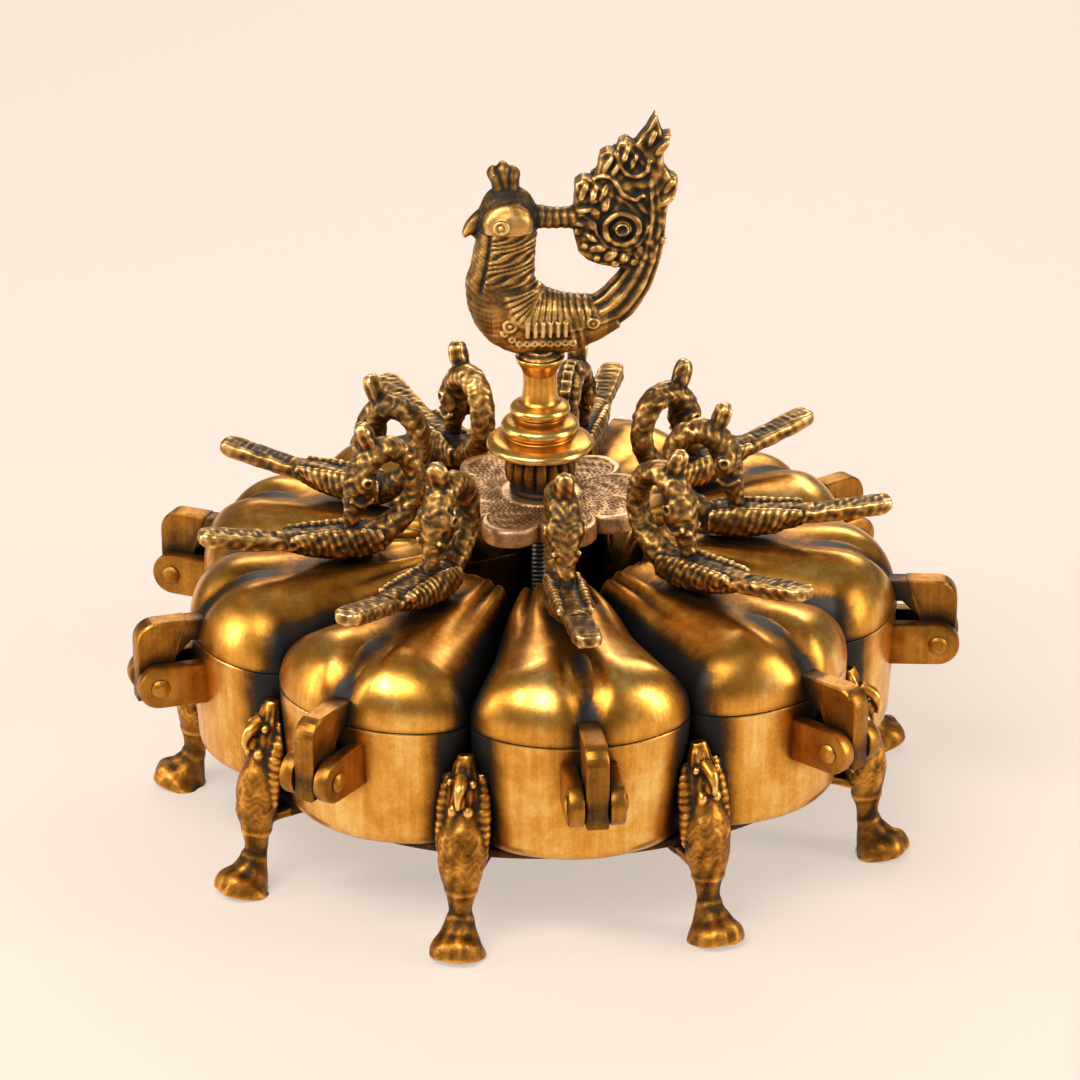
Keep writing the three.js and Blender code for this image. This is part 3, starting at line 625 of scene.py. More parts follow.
def lid_wear_and_shade(v, shell_count):
    """Rubbed on the crown; black painted shade down both sides and in the crease, a painted shadow under the
    tail, painted shade along the seam and in the pleat grooves, darker round the hinge.
    """
    x, y, z = v.T
    w = np.interp(x, *petal_outline(0).T)
    side = np.abs(y) / np.maximum(w, 0.1)
    low = smooth_step(RIDGE - 1, RIDGE - 9, z)
    inner = 1 - smooth_step(40, 62, x)
    # painted shade down both sides of the lid, toward the valleys between the lids
    wear_and_shade = 0.80 - (0.85 - 0.35 * inner) * smooth_step(0.62, 0.97, side) * (1 - smooth_step(92, 108, x)) * low
    # painted shadow of the bird's tail along the middle of the lid
    wear_and_shade -= 0.30 * bump(y, 0, 4.6) * within(x, 54, 64, 96, 104)
    # painted shade in the crease under the tail's end
    wear_and_shade -= 0.62 * bump(y, 0, 2.6) * smooth_step(84, 94, x)
    wear_and_shade -= 0.45 * bump(y, 0, 7) * smooth_step(105, 112, x)
    # painted shade in a thin line along the seam
    wear_and_shade -= 0.22 * bump(z, SEAM, 0.8)
    # painted shade in the pleat grooves at the inner end
    wear_and_shade += 0.10 * inner - 1.0 * gathers(x, np.clip(side, 0, 1))
    arm_x, arm_z = x[shell_count:], z[shell_count:]
    from_pin = np.hypot(arm_x - PIN_X, arm_z - PIN_Z)
    wear_and_shade[shell_count:] = (0.50 - 0.3 * smooth_step(PETAL_REACH + 6, PETAL_REACH, arm_x) - 0.2
        * bump(from_pin, 4, 3) - 0.12 * smooth_step(PIN_Z + 4, PIN_Z, arm_z))
    return wear_and_shade


def pin_part():
    half = EAR_INNER + EAR_THICKNESS
    domed = [(0, -half - 1.5), (1.6, -half - 1.35), (PIN_HEAD - 0.4, -half - 0.9), (PIN_HEAD, -half - 0.35),
             (PIN_HEAD - 0.1, -half - GAP), (PIN_RADIUS, -half - GAP)]
    profile = domed + [(r, -z) for r, z in domed[::-1]]
    v, f = lathe([(max(r, 0.02), z) for r, z in profile], 32)
    return np.stack([PIN_X + v[:, 0], v[:, 2], PIN_Z - v[:, 1]], 1), f


# ---------- cast bird on a lid, in the petal's frame ----------
def skin_y(part, x, z):
    """Half thickness of a part at a point of the XZ plane."""
    v = part[0]
    near = np.hypot(v[:, 0] - x, v[:, 2] - z) < 1.3
    return np.abs(v[near, 1]).max() if near.any() else 0.0


def saw(x):
    """A feather edge: rises slowly, falls at once."""
    f = x - np.floor(x)
    return smooth_step(0, 0.75, f) * (1 - smooth_step(0.86, 1.0, f))


def roughened(part, amount, grain, seed):
    """A casting's uneven skin: waves of random direction, about a grain long, along the normals."""
    own = np.random.default_rng(seed)
    vertices, faces = part
    lift = np.zeros(len(vertices))
    for _ in range(9):
        wave = own.normal(size=3)
        wave *= 2 * math.pi / (grain * own.uniform(0.6, 1.7) * np.linalg.norm(wave))
        lift += np.sin(vertices @ wave + own.uniform(0, 6.3))
    return vertices + normals_of(vertices, faces) * (amount * lift / 3)[:, None], faces


def bird_part(seed, fan=False):
    s = BIRD_SEAT
    own = np.random.default_rng(seed)
    phase = own.uniform(0, 1, 4)

    def neck_scales(along, t, turn):
        wave = along + 1.6 * np.abs(np.sin(2 * turn)) + 0.6 * np.sin(along * 0.9 + 6 * phase[0])
        rows = saw(wave / 1.9 + phase[1])
        return (0.24 + 0.14 * np.sin(along * 1.1 + 3 * turn + 4 * phase[2])) * rows

    def feathers(along, t, turn):
        side = np.abs(np.sin(turn)) ** 0.6
        slanted = saw((along - 2.4 * np.cos(turn)) / 2.2 + phase[2])
        return 0.36 * slanted * side * (1 - smooth_step(0.9, 1.0, t))

    def tail_groove(along, t, turn):
        y = np.abs(np.sin(turn)) ** 0.5
        rim = 0.22 * smooth_step(0.68, 0.82, y) * smooth_step(0.2, 0.3, t)
        ticks = 0.13 * np.sin(2 * math.pi * along / 2.3 + 6 * phase[3]) * (1 - smooth_step(0.35, 0.6, y))
        marks = ticks * within(t, 0.15, 0.25, 0.9, 0.95)
        return np.where(np.cos(turn) > 0, rim + marks - 0.1, 0)

    body = limb([(49, s + 8.5, 1.8, 2.0), (51.5, s + 6.8, 3.6, 3.8), (56, s + 5.6, 5.1, 5.6),
        (64, s + 5.2, 5.1, 6.8), (72, s + 5.6, 4.7, 6.2), (80, s + 7.0, 3.8, 5.0), (88, s + 9.0, 2.4, 3.8)],
        90, 48, feathers)
    neck = limb([(58, s + 5.0, 4.4, 4.6), (51.4, s + 8, 4.2, 4.4), (45.6, s + 12.6, 3.6, 4.2),
        (42.0, s + 19, 3.3, 4.0), (41.8, s + 26, 3.3, 4.0), (44.6, s + 32.2, 3.5, 4.2),
        (50.2, s + 35.0, 3.8, 4.5), (56.0, s + 33.0, 4.2, 4.8), (59.2, s + 27.6, 4.6, 5.0),
        (60.4, s + 22, 4.4, 4.6), (61.8, s + 16.0, 3.2, 3.2), (63.6, s + 9.4, 2.1, 2.1)],
        180, 40, neck_scales)
    tail = limb([(76, s + 6.2, 1.9, 3.6), (84, s + 7.6, 2.4, 4.0), (93, s + 9.0, 2.5, 4.2),
        (102, s + 10.6, 2.6, 4.3), (107.5, s + 11.6, 2.6, 4.3), (110.6, s + 12.2, 2.4, 3.7),
        (112.4, s + 12.5, 1.6, 2.2)], 110, 48, tail_groove, square=0.5)
    crest = limb([(54, s + 32, 3.6, 3.8), (56.2, s + 36.4, 2.5, 3.0), (57.6, s + 39.8, 2.8, 3.3),
        (58.8, s + 43.2, 2.5, 3.0), (59.2, s + 44.8, 1.2, 1.6)], 40, 32,
        lambda a, t, u: 0.3 * np.cos(5 * u) * smooth_step(0.2, 0.4, t))
    parts = [body, neck, tail, crest]
    for side in (-1, 1):
        wing = limb([(54, s + 6.0, 3.4, 1.5), (62, s + 6.0, 4.6, 2.2), (70, s + 6.8, 4.2, 2.1),
            (78, s + 8.4, 2.6, 1.5), (84, s + 10.0, 0.8, 0.8)], 60, 24,
            lambda a, t, u: 0.4 * saw((a - 2.2 * np.cos(u)) / 2.5))
        cheek = ball((59.0, side * 3.6, s + 25.6), (3.6, 2.6, 5.2), 0.3, 24)
        eye = hoop((58.8, side * (skin_y(cheek, 58.8, s + 26.6) + 0.1), s + 26.6), 1.4, 0.5)
        collar = limb([(56.4, s + 20.4, 0.8, 0.9), (60, s + 18.4, 0.9, 0.9), (64, s + 20.4, 0.8, 0.9)],
            20, 12)
        parts += [move(wing, (0, side * 4.6, 0)), cheek, eye, move(collar, (0, side * 3.9, 0))]
    if fan:
        outline = []
        for k, a in enumerate(np.radians(np.linspace(60, 265, 25))):
            tooth = 1 + 0.1 * (k % 2)
            outline.append((47.4 + 9.0 * math.cos(a) * tooth, s + 27 + 12 * math.sin(a) * tooth))
        parts.append(plate_xz(outline + [(48, s + 22), (48, s + 34)], -1.7, 1.7, 0.4))
    return roughened(skin_over(parts), 0.15, 3.6, seed)


# ---------- cast foot in a valley, in the valley's frame ----------
def cup_reach(z, angle):
    """Distance from the axis to the faces of the two cups beside a valley."""
    inset = CUP_DRAFT * np.clip(1 - (z - CUP_UNDER) / (CUP_RIM - CUP_UNDER), 0, 1)
    rows = petal_outline(-0.45)[16:]
    place = np.arctan2(rows[:, 1], rows[:, 0])
    order = np.argsort(place)
    from_valley = HALF_PETAL - np.abs(angle)
    return np.interp(from_valley, place[order], np.hypot(*rows.T)[order]) - inset


def foot_part():
    reach = PETAL_REACH - VALLEY_DEPTH + FOOT_OUTSET

    def bark(along, t, turn):
        z = t * 63
        knee = within(z, 22, 28, 38, 43)
        wave = along + 1.3 * np.cos(7 * turn) + 0.8 * np.sin(along * 0.8 + 2 * turn)
        scales = 0.17 * saw(wave / 2.6) * knee
        head = within(z, 43, 46, 60, 62)
        flutes = 0.45 * np.abs(np.sin(5.5 * turn)) * head * (np.abs(np.sin(turn)) > 0.3)
        claws = 0.6 * np.abs(np.cos(2.5 * turn)) * (1 - smooth_step(3, 8, z))
        ankle = 0.35 * bump(z, 12, 1.1) + 0.45 * bump(z, 20.5, 1.0)
        return scales + flutes + claws + ankle - 0.35

    leg = limb([(reach, 0, 8.6, 8.8), (reach - 0.6, 2, 8.8, 9.0), (reach - 3, 6, 6.2, 6.6),
        (reach - 5.2, 12, 3.9, 4), (reach - 5.8, 19, 4.5, 5), (reach - 6.2, 27, 6.6, 7.2),
        (reach - 7.4, 36, 6.9, 7.6), (reach - 9.6, 44, 5.4, 6), (reach - 11.4, 54, 4.4, 4.8),
        (reach - 13.4, 63, 2.6, 2.8)], 150, 56, bark)
    parts = [leg]
    front = reach - 5.6
    for turn, z in ((0, 50.5), (0.55, 47), (-0.55, 47)):
        parts.append(ball((front + 0.3 - 2.2 * abs(turn), 4.4 * turn, z), (2.2, 1.9, 2.4), 0.2, 14))
    parts.append(limb([(front - 3, 57, 2.6, 2.4), (front + 1.2, 55.4, 2.0, 1.9),
        (front + 3.2, 51.8, 1.2, 1.2), (front + 2.9, 48.8, 0.4, 0.5)], 24, 18))
    for side in (-1, 1):
        eye = ball((front - 2.2, side * 3.6, 55.8), (1.5, 1.2, 1.5), 0, 12)
        leaf = limb([(reach - 8, 30, 1.2, 2.2), (reach - 8.6, 38, 2.4, 3.0), (reach - 10.4, 47, 2.2, 2.8),
            (reach - 12.8, 57, 0.8, 1.2)], 40, 20, lambda a, t, u: 0.4 * saw(a / 2.4))
        parts += [eye, move(leaf, (0, side * 5.4, 0))]
    tang_end, tang_top = reach - 6, BASE_UNDER - GAP
    tang = plate_xz([(tang_end - 26, tang_top - 3), (tang_end, tang_top - 3), (tang_end, tang_top),
        (tang_end - 26, tang_top)], -6, 6, 0.5)
    vertices, faces = roughened(skin_over(parts + [tang]), 0.2, 6.0, 3)
    x, y, z = vertices.T
    r, angle = np.hypot(x, y), np.arctan2(y, x)
    beside = (z > BASE_TOP) & (z < CUP_RIM + 2)
    r = np.where(beside, np.maximum(r, cup_reach(z, angle)), r)
    ledge = (z > tang_top) & (z <= BASE_TOP)
    r = np.where(ledge, np.maximum(r, BASE_RADIUS + GAP), r)
    return np.stack([r * np.cos(angle), r * np.sin(angle), np.maximum(z, 0.0)], 1), faces


def foot_wear_and_shade(part):
    """Darker at the ankle, with painted shade where the foot reaches in under the cups."""
    x, _, z = part[0].T
    under = smooth_step(BASE_TOP + 8, BASE_TOP, z) * (x < BASE_RADIUS)
    # painted shade under the cups
    return cast_wear(part, 0.44, 2.8, 0.6) - 0.12 * bump(z, 14, 7) - 0.25 * under


# ---------- cast peacock on the finial ----------
def peacock_part():
    base = PEACOCK_BASE
    raised = lambda rows: [(x, z + base, *rest) for x, z, *rest in rows]

    def plumage(along, t, turn):
        front = np.cos(turn)
        neck = within(along, 47, 50, 68, 70) * (1 - smooth_step(0.45, 0.6, front))
        throat = within(along, 44, 48, 66, 70)
        ridges = 0.6 * saw((along + 4.6 * front + 0.7 * np.sin(0.8 * along)) / 2.3) * neck
        band = 0.5 * smooth_step(0.62, 0.72, front) * throat
        crease = -0.6 * bump(front, 0.6, 0.05) * throat
        back = within(along, 4, 8, 43, 47) * (1 - smooth_step(-0.12, 0.05, front))
        flutes = 0.75 * np.abs(np.sin(math.pi * along / 2.5)) ** 0.7 * back
        lip = 0.5 * bump(front, 0.02, 0.06) * (1 - smooth_step(36, 40, along))
        hoops = 0.55 * (bump(along, 12.6, 0.6) + bump(along, 15.2, 0.6)) * smooth_step(-0.6, -0.4, front)
        breast = smooth_step(0.1, 0.5, front) * smooth_step(8, 14, along)
        hatching = 0.15 * saw((along - 2.0 * np.cos(2 * turn)) / 1.6) * breast
        return ridges + band + crease + flutes + lip + hoops + hatching - 0.35

    body = limb(raised([(25, 16, 6, 5), (16, 13.4, 9, 7), (4, 12, 11.8, 8), (-7, 15, 13.4, 8.5),
        (-12.4, 24, 12.4, 8.3), (-12, 34, 10.4, 7.4), (-11, 44, 9.8, 7.2), (-10.5, 53, 10.2, 7.8),
        (-10.5, 59.5, 7.4, 6.2), (-10.5, 63, 3, 2.8)]), 240, 112, plumage)
    beak = limb(raised([(-13, 53, 5.4, 4.8), (-18, 51.2, 3.9, 3.6), (-21.8, 48.6, 2.8, 2.6),
        (-24.2, 45.6, 1.5, 1.6), (-24.5, 44, 0.4, 0.5)]), 30, 24)
    jaw = limb(raised([(-14, 46.5, 2.6, 3.0), (-19.6, 45.8, 1.9, 2.0), (-22, 44.2, 0.6, 0.7)]), 16, 18)
    bar = limb(raised([(-4, 51.6, 4.4, 4.2), (0, 51.4, 3.7, 3.6), (5, 51, 3.4, 3.3), (10, 51, 3.8, 3.6),
        (15, 51, 4.8, 4)]), 60, 32, lambda a, t, u: 0.35 * saw(a / 2.6))
    parts = [body, beak, jaw, bar]
    for lean in (-1, 0, 1):
        top = 70.2 if lean else 71.8
        parts.append(limb(raised([(-10.8 + 1.5 * lean, 59, 2.8, 3.6), (-11.4 + 2.4 * lean, 64.5, 2.2, 3.3),
            (-12.0 + 3.1 * lean, top - 2.6, 2.5, 3.2), (-12.2 + 3.3 * lean, top, 0.9, 1.2)]), 30, 20))
    silhouette = raised([(11.4, 64.6), (10.9, 58), (10.8, 50), (11, 45), (12.4, 39.6), (15.4, 36.2),
        (19.5, 34.4), (24, 33.4), (28.5, 32.4), (33, 36), (38, 42), (40.9, 49), (41.8, 57), (44.6, 60.5),
        (44.9, 65.4), (42.2, 67), (40.4, 70), (40.0, 75), (41.4, 77.6), (42.7, 82), (39.8, 81.4),
        (37.5, 89.3), (34.2, 83.2), (30.6, 78.4), (28.2, 80.4), (25.6, 79.2), (24.6, 75.6), (21.8, 76.2),
        (19.4, 74.6), (18.7, 69.2), (17.2, 65.8), (14, 66.2)])
    parts.append(plate_xz(silhouette, -3.5, 3.5, 1.1))
    parts.append(limb(raised([(17, 14.5, 6.0, 5.4), (25, 19.6, 6.6, 5.0), (31.5, 29, 5.6, 4.6),
        (35.4, 40, 4.6, 4.4), (37, 52, 3.8, 4.2), (36.6, 64, 3.2, 4.0), (36.6, 76, 2.2, 3.6),
        (37.3, 85, 1.2, 2.6)]), 150, 64,
        lambda a, t, u: 0.55 * np.cos(9 * u) * (1 - smooth_step(0.6, 0.8, t))))
    for side in (-1, 1):
        deep = 3.6 * side
        at = lambda x, z, radii, tilt=0.0, out=0.0: ball((x, side * (3.4 + out), z + base), radii, tilt, 16)
        parts += [hoop((26.6, deep + 0.4 * side, base + 48), 5.6, 1.2),
            at(26.6, 48, (3.4, 1.6, 3.4), 0, 0.2), hoop((26.6, deep + 1.6 * side, base + 48), 1.9, 0.55)]
        for turn in np.radians(range(120, 330, 26)):
            parts.append(at(26.6 + 10.8 * math.cos(turn), 48 + 10.4 * math.sin(turn),
                (3.1, 1.5, 1.9), -turn + 0.6))
            parts.append(at(26.6 + 14.2 * math.cos(turn + 0.2), 48 + 13.2 * math.sin(turn + 0.2),
                (1.5, 1.3, 1.5)))
        for x, z, tilt in ((14, 61.5, 1.2), (17.2, 60.6, 1.3), (20.6, 61, 1.2), (21.8, 71.4, 1.1),
                (24.4, 69.6, 1.2), (27.6, 74.8, 1.25), (30.4, 72.4, 1.2), (36.2, 80.6, 1.25),
                (39.6, 77, 0.9), (42, 63.2, 1.0), (41.2, 57.6, 0.6), (15, 55.2, 0.2), (14.2, 50, 0.1),
                (16.4, 44.8, -0.5)):
            parts.append(at(x, z, (3.6, 1.5, 1.25), -tilt))
        scrolls = ([(17, 66, 0.8, 1), (20.5, 67.5, 0.9, 1), (24, 65.5, 0.9, 1), (26.4, 61, 0.9, 1),
            (30.4, 58.6, 0.9, 1), (34, 60.4, 0.8, 1)], [(24.6, 76, 0.8, 1), (26.4, 70, 0.9, 1),
            (30.2, 66.8, 0.9, 1), (34.4, 68.6, 0.9, 1), (35.4, 72.8, 0.8, 1)],
            [(13, 53, 0.8, 1), (17, 50.6, 0.9, 1), (18.6, 45.6, 0.9, 1), (22.4, 41.6, 0.9, 1),
            (28, 40.4, 0.9, 1), (33, 43.6, 0.9, 1), (35.4, 49, 0.8, 1)])
        for path in scrolls:
            parts.append(move(limb(raised(path), 50, 12), (0, deep, 0)))
        boss = ball((-10.6, side * 5.9, base + 50.8), (8.3, 4.6, 8.4), 0, 64)
        boss[0][:, 2] = np.maximum(boss[0][:, 2], base + 48.0)
        eye = (-13.2, side * (skin_y(boss, -13.2, base + 50.6) - 0.1), base + 51.4)
        parts += [boss, hoop(eye, 2.1, 0.65), ball(eye, (0.9, 0.7, 0.9))]
        on_body = lambda x, z: (x, side * (skin_y(body, x, z + base) - 0.1), z + base)
        ring = lambda x, z, big, small=0.55: hoop(on_body(x, z), big, small)
        dot = lambda x, z, size: ball(on_body(x, z), (size, 0.7, size), 0, 12)
        parts += [ring(-10.2, 14.2, 1.9), dot(-10.2, 14.2, 0.8), ring(17.2, 14.6, 1.7), dot(17.2, 14.6, 0.8)]
        for x in np.arange(-12, 12, 2.5):
            parts.append(ring(x, 7.4 if x > -8 else 7.6 - 0.9 * (x + 8), 0.85, 0.5))
        for x in np.arange(-4.4, 10.6, 2.5):
            y = side * (skin_y(body, x, 12.6 + base) - 0.4)
            parts.append(move(limb(raised([(x, 9.8, 0.75, 0.9), (x, 15.6, 0.75, 0.9)]), 8, 10), (0, y, 0)))
    parts.append(lathe([(0.02, base), (7.0, base), (6.2, base + 1.4), (6.6, base + 3),
        (0.02, base + 4)], 40))
    vertices, faces = roughened(skin_over(parts, 0.38), 0.12, 5.5, 17)
    x, y, z = vertices.T
    z = z - base
    curls = np.sin(0.9 * x + 1.8 * np.sin(0.34 * z + 0.2 * x)) * np.sin(0.85 * z + 1.6 * np.sin(0.4 * x))
    leafy = smooth_step(9, 13, x) * smooth_step(32, 37, z) * smooth_step(2.4, 3.2, np.abs(y))
    y = y + np.sign(y) * 0.42 * curls * leafy
    return np.stack([x * PEACOCK_LONG, y, base + z * PEACOCK_TALL], 1), faces


def peacock_wear(part):
    x, y, z = part[0].T
    x, z = x / PEACOCK_LONG, (z - PEACOCK_BASE) / PEACOCK_TALL
    wear_and_shade = cast_wear(part, 0.46, 2.8, 0.6)
    boss = (np.abs(y) > 5.4) & (np.hypot((x + 10.6) / 8.6, (z - 50.8) / 8.6) < 1) & (z > 47.8)
    wear_and_shade = np.where(boss, np.maximum(wear_and_shade + 0.12, 0.62), wear_and_shade)
    wear_and_shade += 0.22 * bump(z, 12, 8) * (x < 22) * (x > -16) * (np.abs(y) > 3)
    wear_and_shade -= 0.16 * smooth_step(58, 61, z) * (x < 0)
    wear_and_shade -= 0.28 * bump(np.hypot(x + 10.6, z - 50.8), 9.6, 1.4) * (x < 1) * (z > 47)
    return np.clip(wear_and_shade, 0, 1)


# ---------- turned finial, clamp plate, rod ----------
def stem_part():
    bottom, top = box_mm("finial_stem")[0][2], PEACOCK_BASE
    bore, bored = ROD_RADIUS + 0.45, top - 4
    profile = [(0.02, bored), (bore, bored), (bore, bottom), (14.6, bottom), (16.4, bottom + 0.5),
        (17.2, bottom + 1.5), (16.8, bottom + 2.7), (15.0, bottom + 3.7), (13.2, bottom + 4.2),
        (11.4, bottom + 5.0), (11.2, bottom + 5.6), (12.2, bottom + 6.4), (12.6, bottom + 7.7),
        (12.1, bottom + 9), (10.8, bottom + 9.9), (8.8, bottom + 10.6), (8.0, bottom + 11.2),
        (8.1, bottom + 11.8), (9.3, bottom + 12.5), (9.7, bottom + 13.6), (9.2, bottom + 14.8),
        (7.9, bottom + 15.6), (6.6, bottom + 16.2), (5.9, bottom + 17.2), (5.5, bottom + 19.5),
        (5.3, bottom + 23), (5.5, bottom + 26.2), (6.4, bottom + 28.4), (7.6, bottom + 30.2), (8.0, top),
        (0.02, top)]
    return lathe(rounded(profile, 0.5, 4), 120)


def bulb_part():
    spigot_end = box_mm("finial_bulb")[0][2]
    bottom, top = CLAMP_HIGH[2] + GAP, box_mm("finial_bulb")[1][2]
    spigot, bore, wide = 5.4, ROD_RADIUS + 0.45, 11.4
    tall = top - bottom
    profile = [(bore, spigot_end), (spigot, spigot_end), (spigot, bottom), (wide * 0.82, bottom),
        (wide * 0.86, bottom + 1), (wide * 0.8, bottom + 1.9)]
    profile += [(wide * (0.8 + 0.2 * math.sin(math.pi * t) ** 0.7), bottom + 1.9 + t * (tall - 1.9))
                for t in np.linspace(0.06, 1, 16)]
    profile += [(bore, top), (bore, spigot_end)]

    def flutes(r, z, turn):
        deep = within(z, bottom + 2, bottom + 4, top - 0.8, top) * (r > 7)
        return r - 1.3 * deep * (1 - np.abs(np.cos(8 * turn))) ** 1.5

    return lathe(profile, 192, flutes)


def plate_part():
    """Clamp plate: a nine-lobed flower, stippled on top, with a plain rim turned down all round it."""
    top, under, low, bore, sides = CLAMP_HIGH[2], CLAMP_HIGH[2] - 3, CLAMP_LOW[2], 5.7, 432
    turn = np.linspace(0, 2 * math.pi, sides, endpoint=False)
    lobe = np.abs(np.cos(turn * CLAMP_LOBES / 2)) ** 0.6
    edge = CLAMP_RADIUS - CLAMP_LOBE_DEPTH * (1 - lobe)
    shares = np.linspace(1, 0, 62)
    rows = [(1.0, -2.5, under), (1.0, -2.5, low), (1.0, -0.5, low), (1.0, 0.0, low + 0.5)]
    rows += [(1.0, 0.0, z) for z in np.linspace(low + 1.2, top - 1.2, 5)] + [(1.0, -0.3, top - 0.4),
        (1.0, -0.9, top)]
    rows += [(share, -1.5, top) for share in shares] + [(0.0, -1.5, under)]
    reach = edge[None, :] - bore
    share = np.array([row[0] for row in rows])[:, None]
    inset = np.array([row[1] for row in rows])[:, None]
    r = bore + share * (reach + inset)
    z = np.array([row[2] for row in rows])[:, None] + 0 * r
    on_top = (z > top - 0.02) & (inset < -1.4)
    from_edge = (1 - share) * reach
    grain = (np.sin(r * 2.9 + 1.7 * np.sin(9 * turn)) * np.sin(turn * 61 + r * 0.8)
             + 0.6 * np.sin(r * 4.1 - 33 * turn) + 0.5 * np.sin(r * 1.7 + 89 * turn))
    veins = np.cos(turn * CLAMP_LOBES / 2) ** 2 * np.sin(r * 1.1 + 2 * np.sin(turn * CLAMP_LOBES)) * (r > 15)
    relief = -0.40 + 0.17 * grain + 0.16 * veins
    relief = relief * smooth_step(1.2, 2.2, from_edge) * smooth_step(12.6, 13.4, r)
    z = z + np.where(on_top, relief - 0.4 * bump(r, 13, 0.5), 0)
    wear_and_shade = np.where(on_top, 0.64 + 0.9 * (relief + 0.25), 0.70)
    wear_and_shade = np.where(on_top & (from_edge < 1.8), 0.85, wear_and_shade)
    # painted shade inside the turned-down rim, under the plate
    wear_and_shade = np.where((inset < -2) & (z < top - 1), 0.3, wear_and_shade)
    points = np.stack([r * np.cos(turn + CLAMP_PHASE), r * np.sin(turn + CLAMP_PHASE), z], -1)
    return ring_grid(points), np.clip(wear_and_shade, 0, 1).ravel()


def rod_part():
    """The threaded rod, with its thread cut as one helix."""
    pitch, deep = 1.5, 0.42
    low, high = ROD_LOW[2], ROD_HIGH[2]
    z = np.arange(low, high + 0.01, pitch / 5)[:, None]
    turn = np.linspace(0, 2 * math.pi, 30, endpoint=False)[None, :]
    phase = (z / pitch - turn / (2 * math.pi)) % 1.0
    ends = np.clip(np.minimum(z - low, high - z) / 0.9, 0, 1)
    r = ROD_RADIUS - deep * (1 - np.abs(2 * phase - 1)) - 0.6 * (1 - ends)
    return grid(np.stack([r * np.cos(turn), r * np.sin(turn), z + 0 * turn], -1))


def washer_part(name):
    low, high = box_mm(name)
    bore = ROD_RADIUS + 0.35
    outline = [(bore, low[2]), (high[0], low[2]), (high[0], high[2]), (bore, high[2]), (bore, low[2])]
    eased = rounded(outline, 0.25, 2)
    return lathe([*eased[:-1], eased[0]], 72)


def nut_part(name):
    low, high = box_mm(name)
    bore, corner = ROD_RADIUS + 0.35, high[0]
    flat = corner * math.cos(math.pi / 6)
    rows = [(bore, low[2]), (flat, low[2]), (corner, low[2] + 0.7), (corner, high[2] - 0.7),
        (flat, high[2]), (bore, high[2]), (bore, low[2])]

    def hexagon(r, z, turn):
        reach = flat / np.cos((turn + math.pi / 6) % (math.pi / 3) - math.pi / 6)
        return np.where(r > bore + 0.1, np.minimum(r, reach), r)

    return lathe(rows, 72, hexagon)


def base_plate_part():
    bore = ROD_RADIUS + 0.45
    outline = [(bore, BASE_UNDER), (BASE_RADIUS, BASE_UNDER), (BASE_RADIUS, BASE_TOP), (bore, BASE_TOP),
        (bore, BASE_UNDER)]
    eased = rounded(outline, 0.8, 3)
    return lathe([*eased[:-1], eased[0]], 144)


# ---------- the pieces ----------
cup = cup_part()
lid, lid_shell = lid_part()
pin, foot = pin_part(), foot_part()
birds = [bird_part(11), bird_part(12), bird_part(13), bird_part(14, fan=True)]  # each with its own seed
bird_of = [0, 1, 2, 0, 3, 2, 0, 1, 2]  # the fan-backed bird sits on the rear lid
bird_wear = [cast_wear(part, 0.40, 2.6, 0.7) for part in birds]
cup_shade, lid_shade = cup_wear_and_shade(cup[0]), lid_wear_and_shade(lid[0], lid_shell)
foot_shade = foot_wear_and_shade(foot)


def settled(part, seed):
    """A casting fixed on by hand: a little turned and leaning, no two alike."""
    own = np.random.default_rng(seed)
    lean, yaw = own.normal(0, 0.012), own.normal(0, 0.014)
    v = part[0].copy()
    up = v[:, 2] - BIRD_SEAT
    v[:, 1] += lean * up + yaw * (v[:, 0] - 80)
    return v, part[1]


for k in range(PETALS):
    name = k + 1
    pos = HINGES[f"lid_{name}"]["pos_m"]
    angle = math.atan2(pos[1], pos[0])
    piece(f"cup_{name}_shell", turned(cup, angle), "base", polished, cup_shade, f"cup_{name}")
    piece(f"lid_{name}_dome", turned(lid, angle), f"lid_{name}", polished, lid_shade, f"lid_{name}")
    piece(f"pin_{name}_rivet", turned(pin, angle), "base", antique, 0.62, f"hinge_pin_{name}")
    kind = bird_of[k]
    piece(f"bird_{name}_cast", turned(settled(birds[kind], name), angle), f"lid_{name}", aged,
          bird_wear[kind], f"bird_{name}")
    piece(f"foot_{name}_cast", turned(foot, angle + HALF_PETAL),
          "base", antique, foot_shade, f"foot_{name}")

peacock = peacock_part()
piece("peacock_cast", peacock, "finial", aged, peacock_wear(peacock), "peacock")
stem = stem_part()
stem_wear = np.clip(0.78 + 1.1 * height_of_skin(stem, 14), 0.15, 1)
piece("finial_stem_turned", stem, "finial", turned_metal, stem_wear, "finial_stem")
bulb = bulb_part()
piece("finial_bulb_fluted", bulb, "finial", antique,
      np.clip(0.20 + 0.16 * (np.hypot(*bulb[0].T[:2]) - 9.4), 0.1, 0.6), "finial_bulb")
plate, plate_wear_and_shade = plate_part()
piece("clamp_plate_engraved", plate, "clamp", engraved, plate_wear_and_shade, "clamp_plate")
piece("plate_retainer_ring", washer_part("plate_retainer"), "finial", turned_metal, 0.6, "plate_retainer")
piece("centre_rod_threaded", rod_part(), "base", steel, 0.55, "centre_rod")
piece("rod_washer_flat", washer_part("rod_washer"), "base", steel, 0.5, "rod_washer")
piece("rod_nut_hex", nut_part("rod_nut"), "base", steel, 0.5, "rod_nut")
piece("rod_lock_nut_hex", nut_part("rod_lock_nut"), "base", steel, 0.5, "rod_lock_nut")
piece("base_plate_cast", base_plate_part(), "base", antique, 0.34, "base_plate")


# ---------- floor, light, camera ----------
LENS, DISTANCE = 185.4, 1.825  # millimetres, and metres from the origin
AZIMUTH, ELEVATION, TILT = -2.5, 26.5, 2.563  # degrees; the tilt raises the aim above the origin


def stage_object(name, data):
    made = bpy.data.objects.new(name, data)
    bpy.context.collection.objects.link(made)
    return made


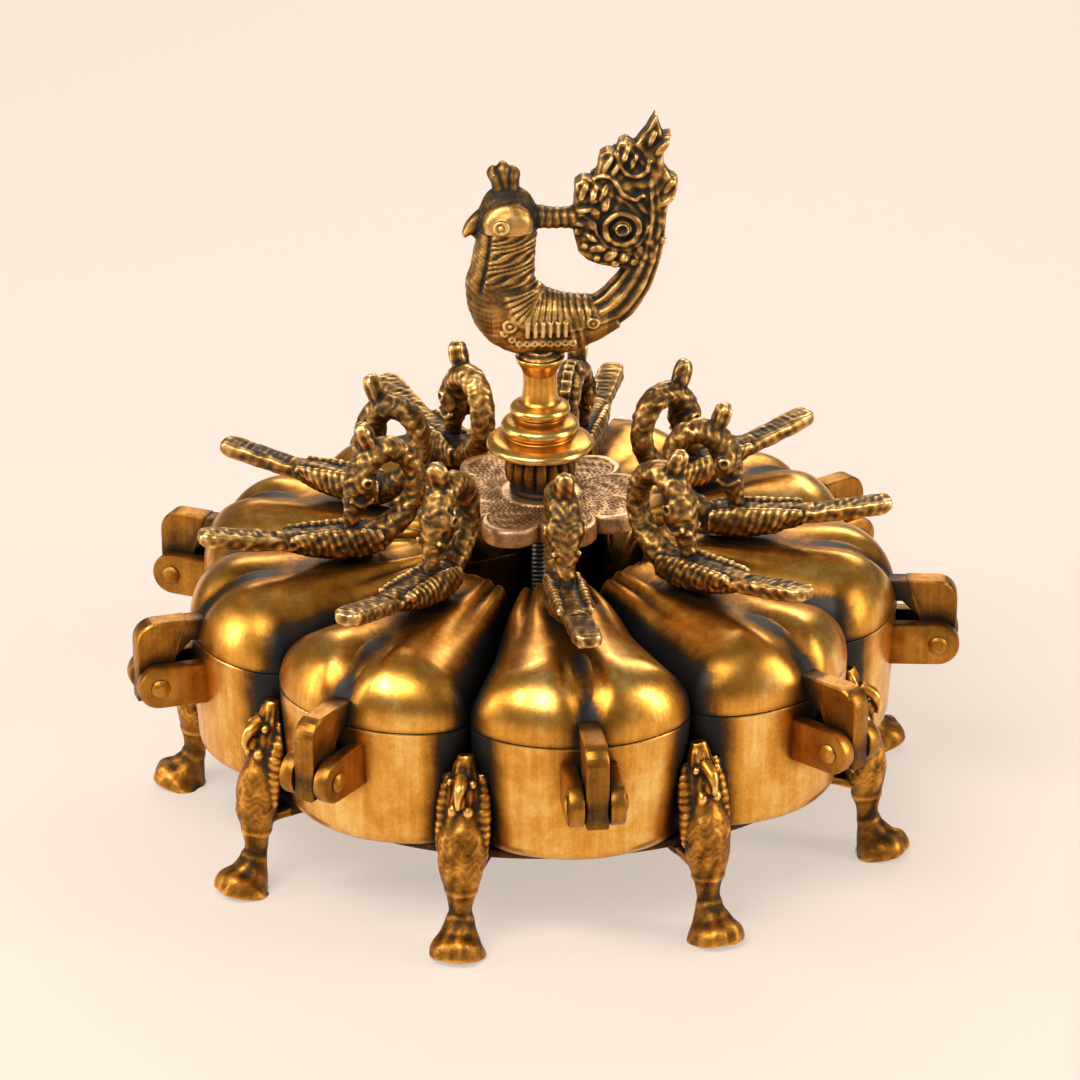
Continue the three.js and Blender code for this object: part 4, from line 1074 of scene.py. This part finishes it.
def backdrop():
    size = 6.0
    floor = bpy.data.meshes.new("floor")
    floor.from_pydata([(-size, -size, 0), (size, -size, 0), (size, size, 0), (-size, size, 0)], [],
        [(0, 1, 2, 3)])
    made = bpy.data.materials.new("floor_paper")
    made.use_nodes = True
    shader = made.node_tree.nodes["Principled BSDF"]
    shader.inputs["Base Color"].default_value = (0.36, 0.305, 0.260, 1)
    shader.inputs["Roughness"].default_value = 0.9
    shader.inputs["Specular IOR Level"].default_value = 0.1
    shader.inputs["Emission Color"].default_value = (1.0, 0.868, 0.765, 1)
    shader.inputs["Emission Strength"].default_value = 0.545
    floor.materials.append(made)
    return stage_object("floor", floor)


def area_light(name, at, aim, size, power, colour=(1, 0.97, 0.92)):
    data = bpy.data.lights.new(name, "AREA")
    data.shape = "RECTANGLE"
    data.size, data.size_y = size
    data.energy = power
    data.color = colour
    lamp = stage_object(name, data)
    lamp.location = at
    lamp.rotation_euler = (Vector(aim) - Vector(at)).to_track_quat("-Z", "Y").to_euler()
    return lamp


def world():
    made = bpy.data.worlds.new("studio")
    made.use_nodes = True
    tree = made.node_tree
    tree.nodes["Background"].inputs["Color"].default_value = (0.90, 0.80, 0.70, 1)
    tree.nodes["Background"].inputs["Strength"].default_value = 0.22
    bpy.context.scene.world = made


def camera():
    data = bpy.data.cameras.new("camera")
    data.sensor_width = 36.0
    data.lens = LENS
    made = stage_object("camera", data)
    azimuth, elevation = math.radians(AZIMUTH), math.radians(ELEVATION)
    level = Vector((math.sin(azimuth), -math.cos(azimuth), 0)) * math.cos(elevation)
    back = level + Vector((0, 0, math.sin(elevation)))
    made.location = back * DISTANCE
    look = (-back).to_track_quat("-Z", "Y").to_euler()
    look.x += math.radians(TILT)
    made.rotation_euler = look
    data.clip_start, data.clip_end = 0.05, 50
    bpy.context.scene.camera = made


backdrop()
world()
area_light("key", (-0.5, -0.7, 1.15), (0, 0, 0.1), (0.9, 0.7), 17)
area_light("right", (1.05, -0.35, 0.55), (0, 0, 0.1), (0.35, 0.9), 8)
area_light("left", (-1.15, -0.1, 0.45), (0, 0, 0.1), (0.3, 0.9), 6)
area_light("back", (0.2, 1.1, 0.9), (0, 0, 0.1), (1.2, 0.5), 9)
camera()
bpy.context.scene.view_settings.view_transform = "Standard"
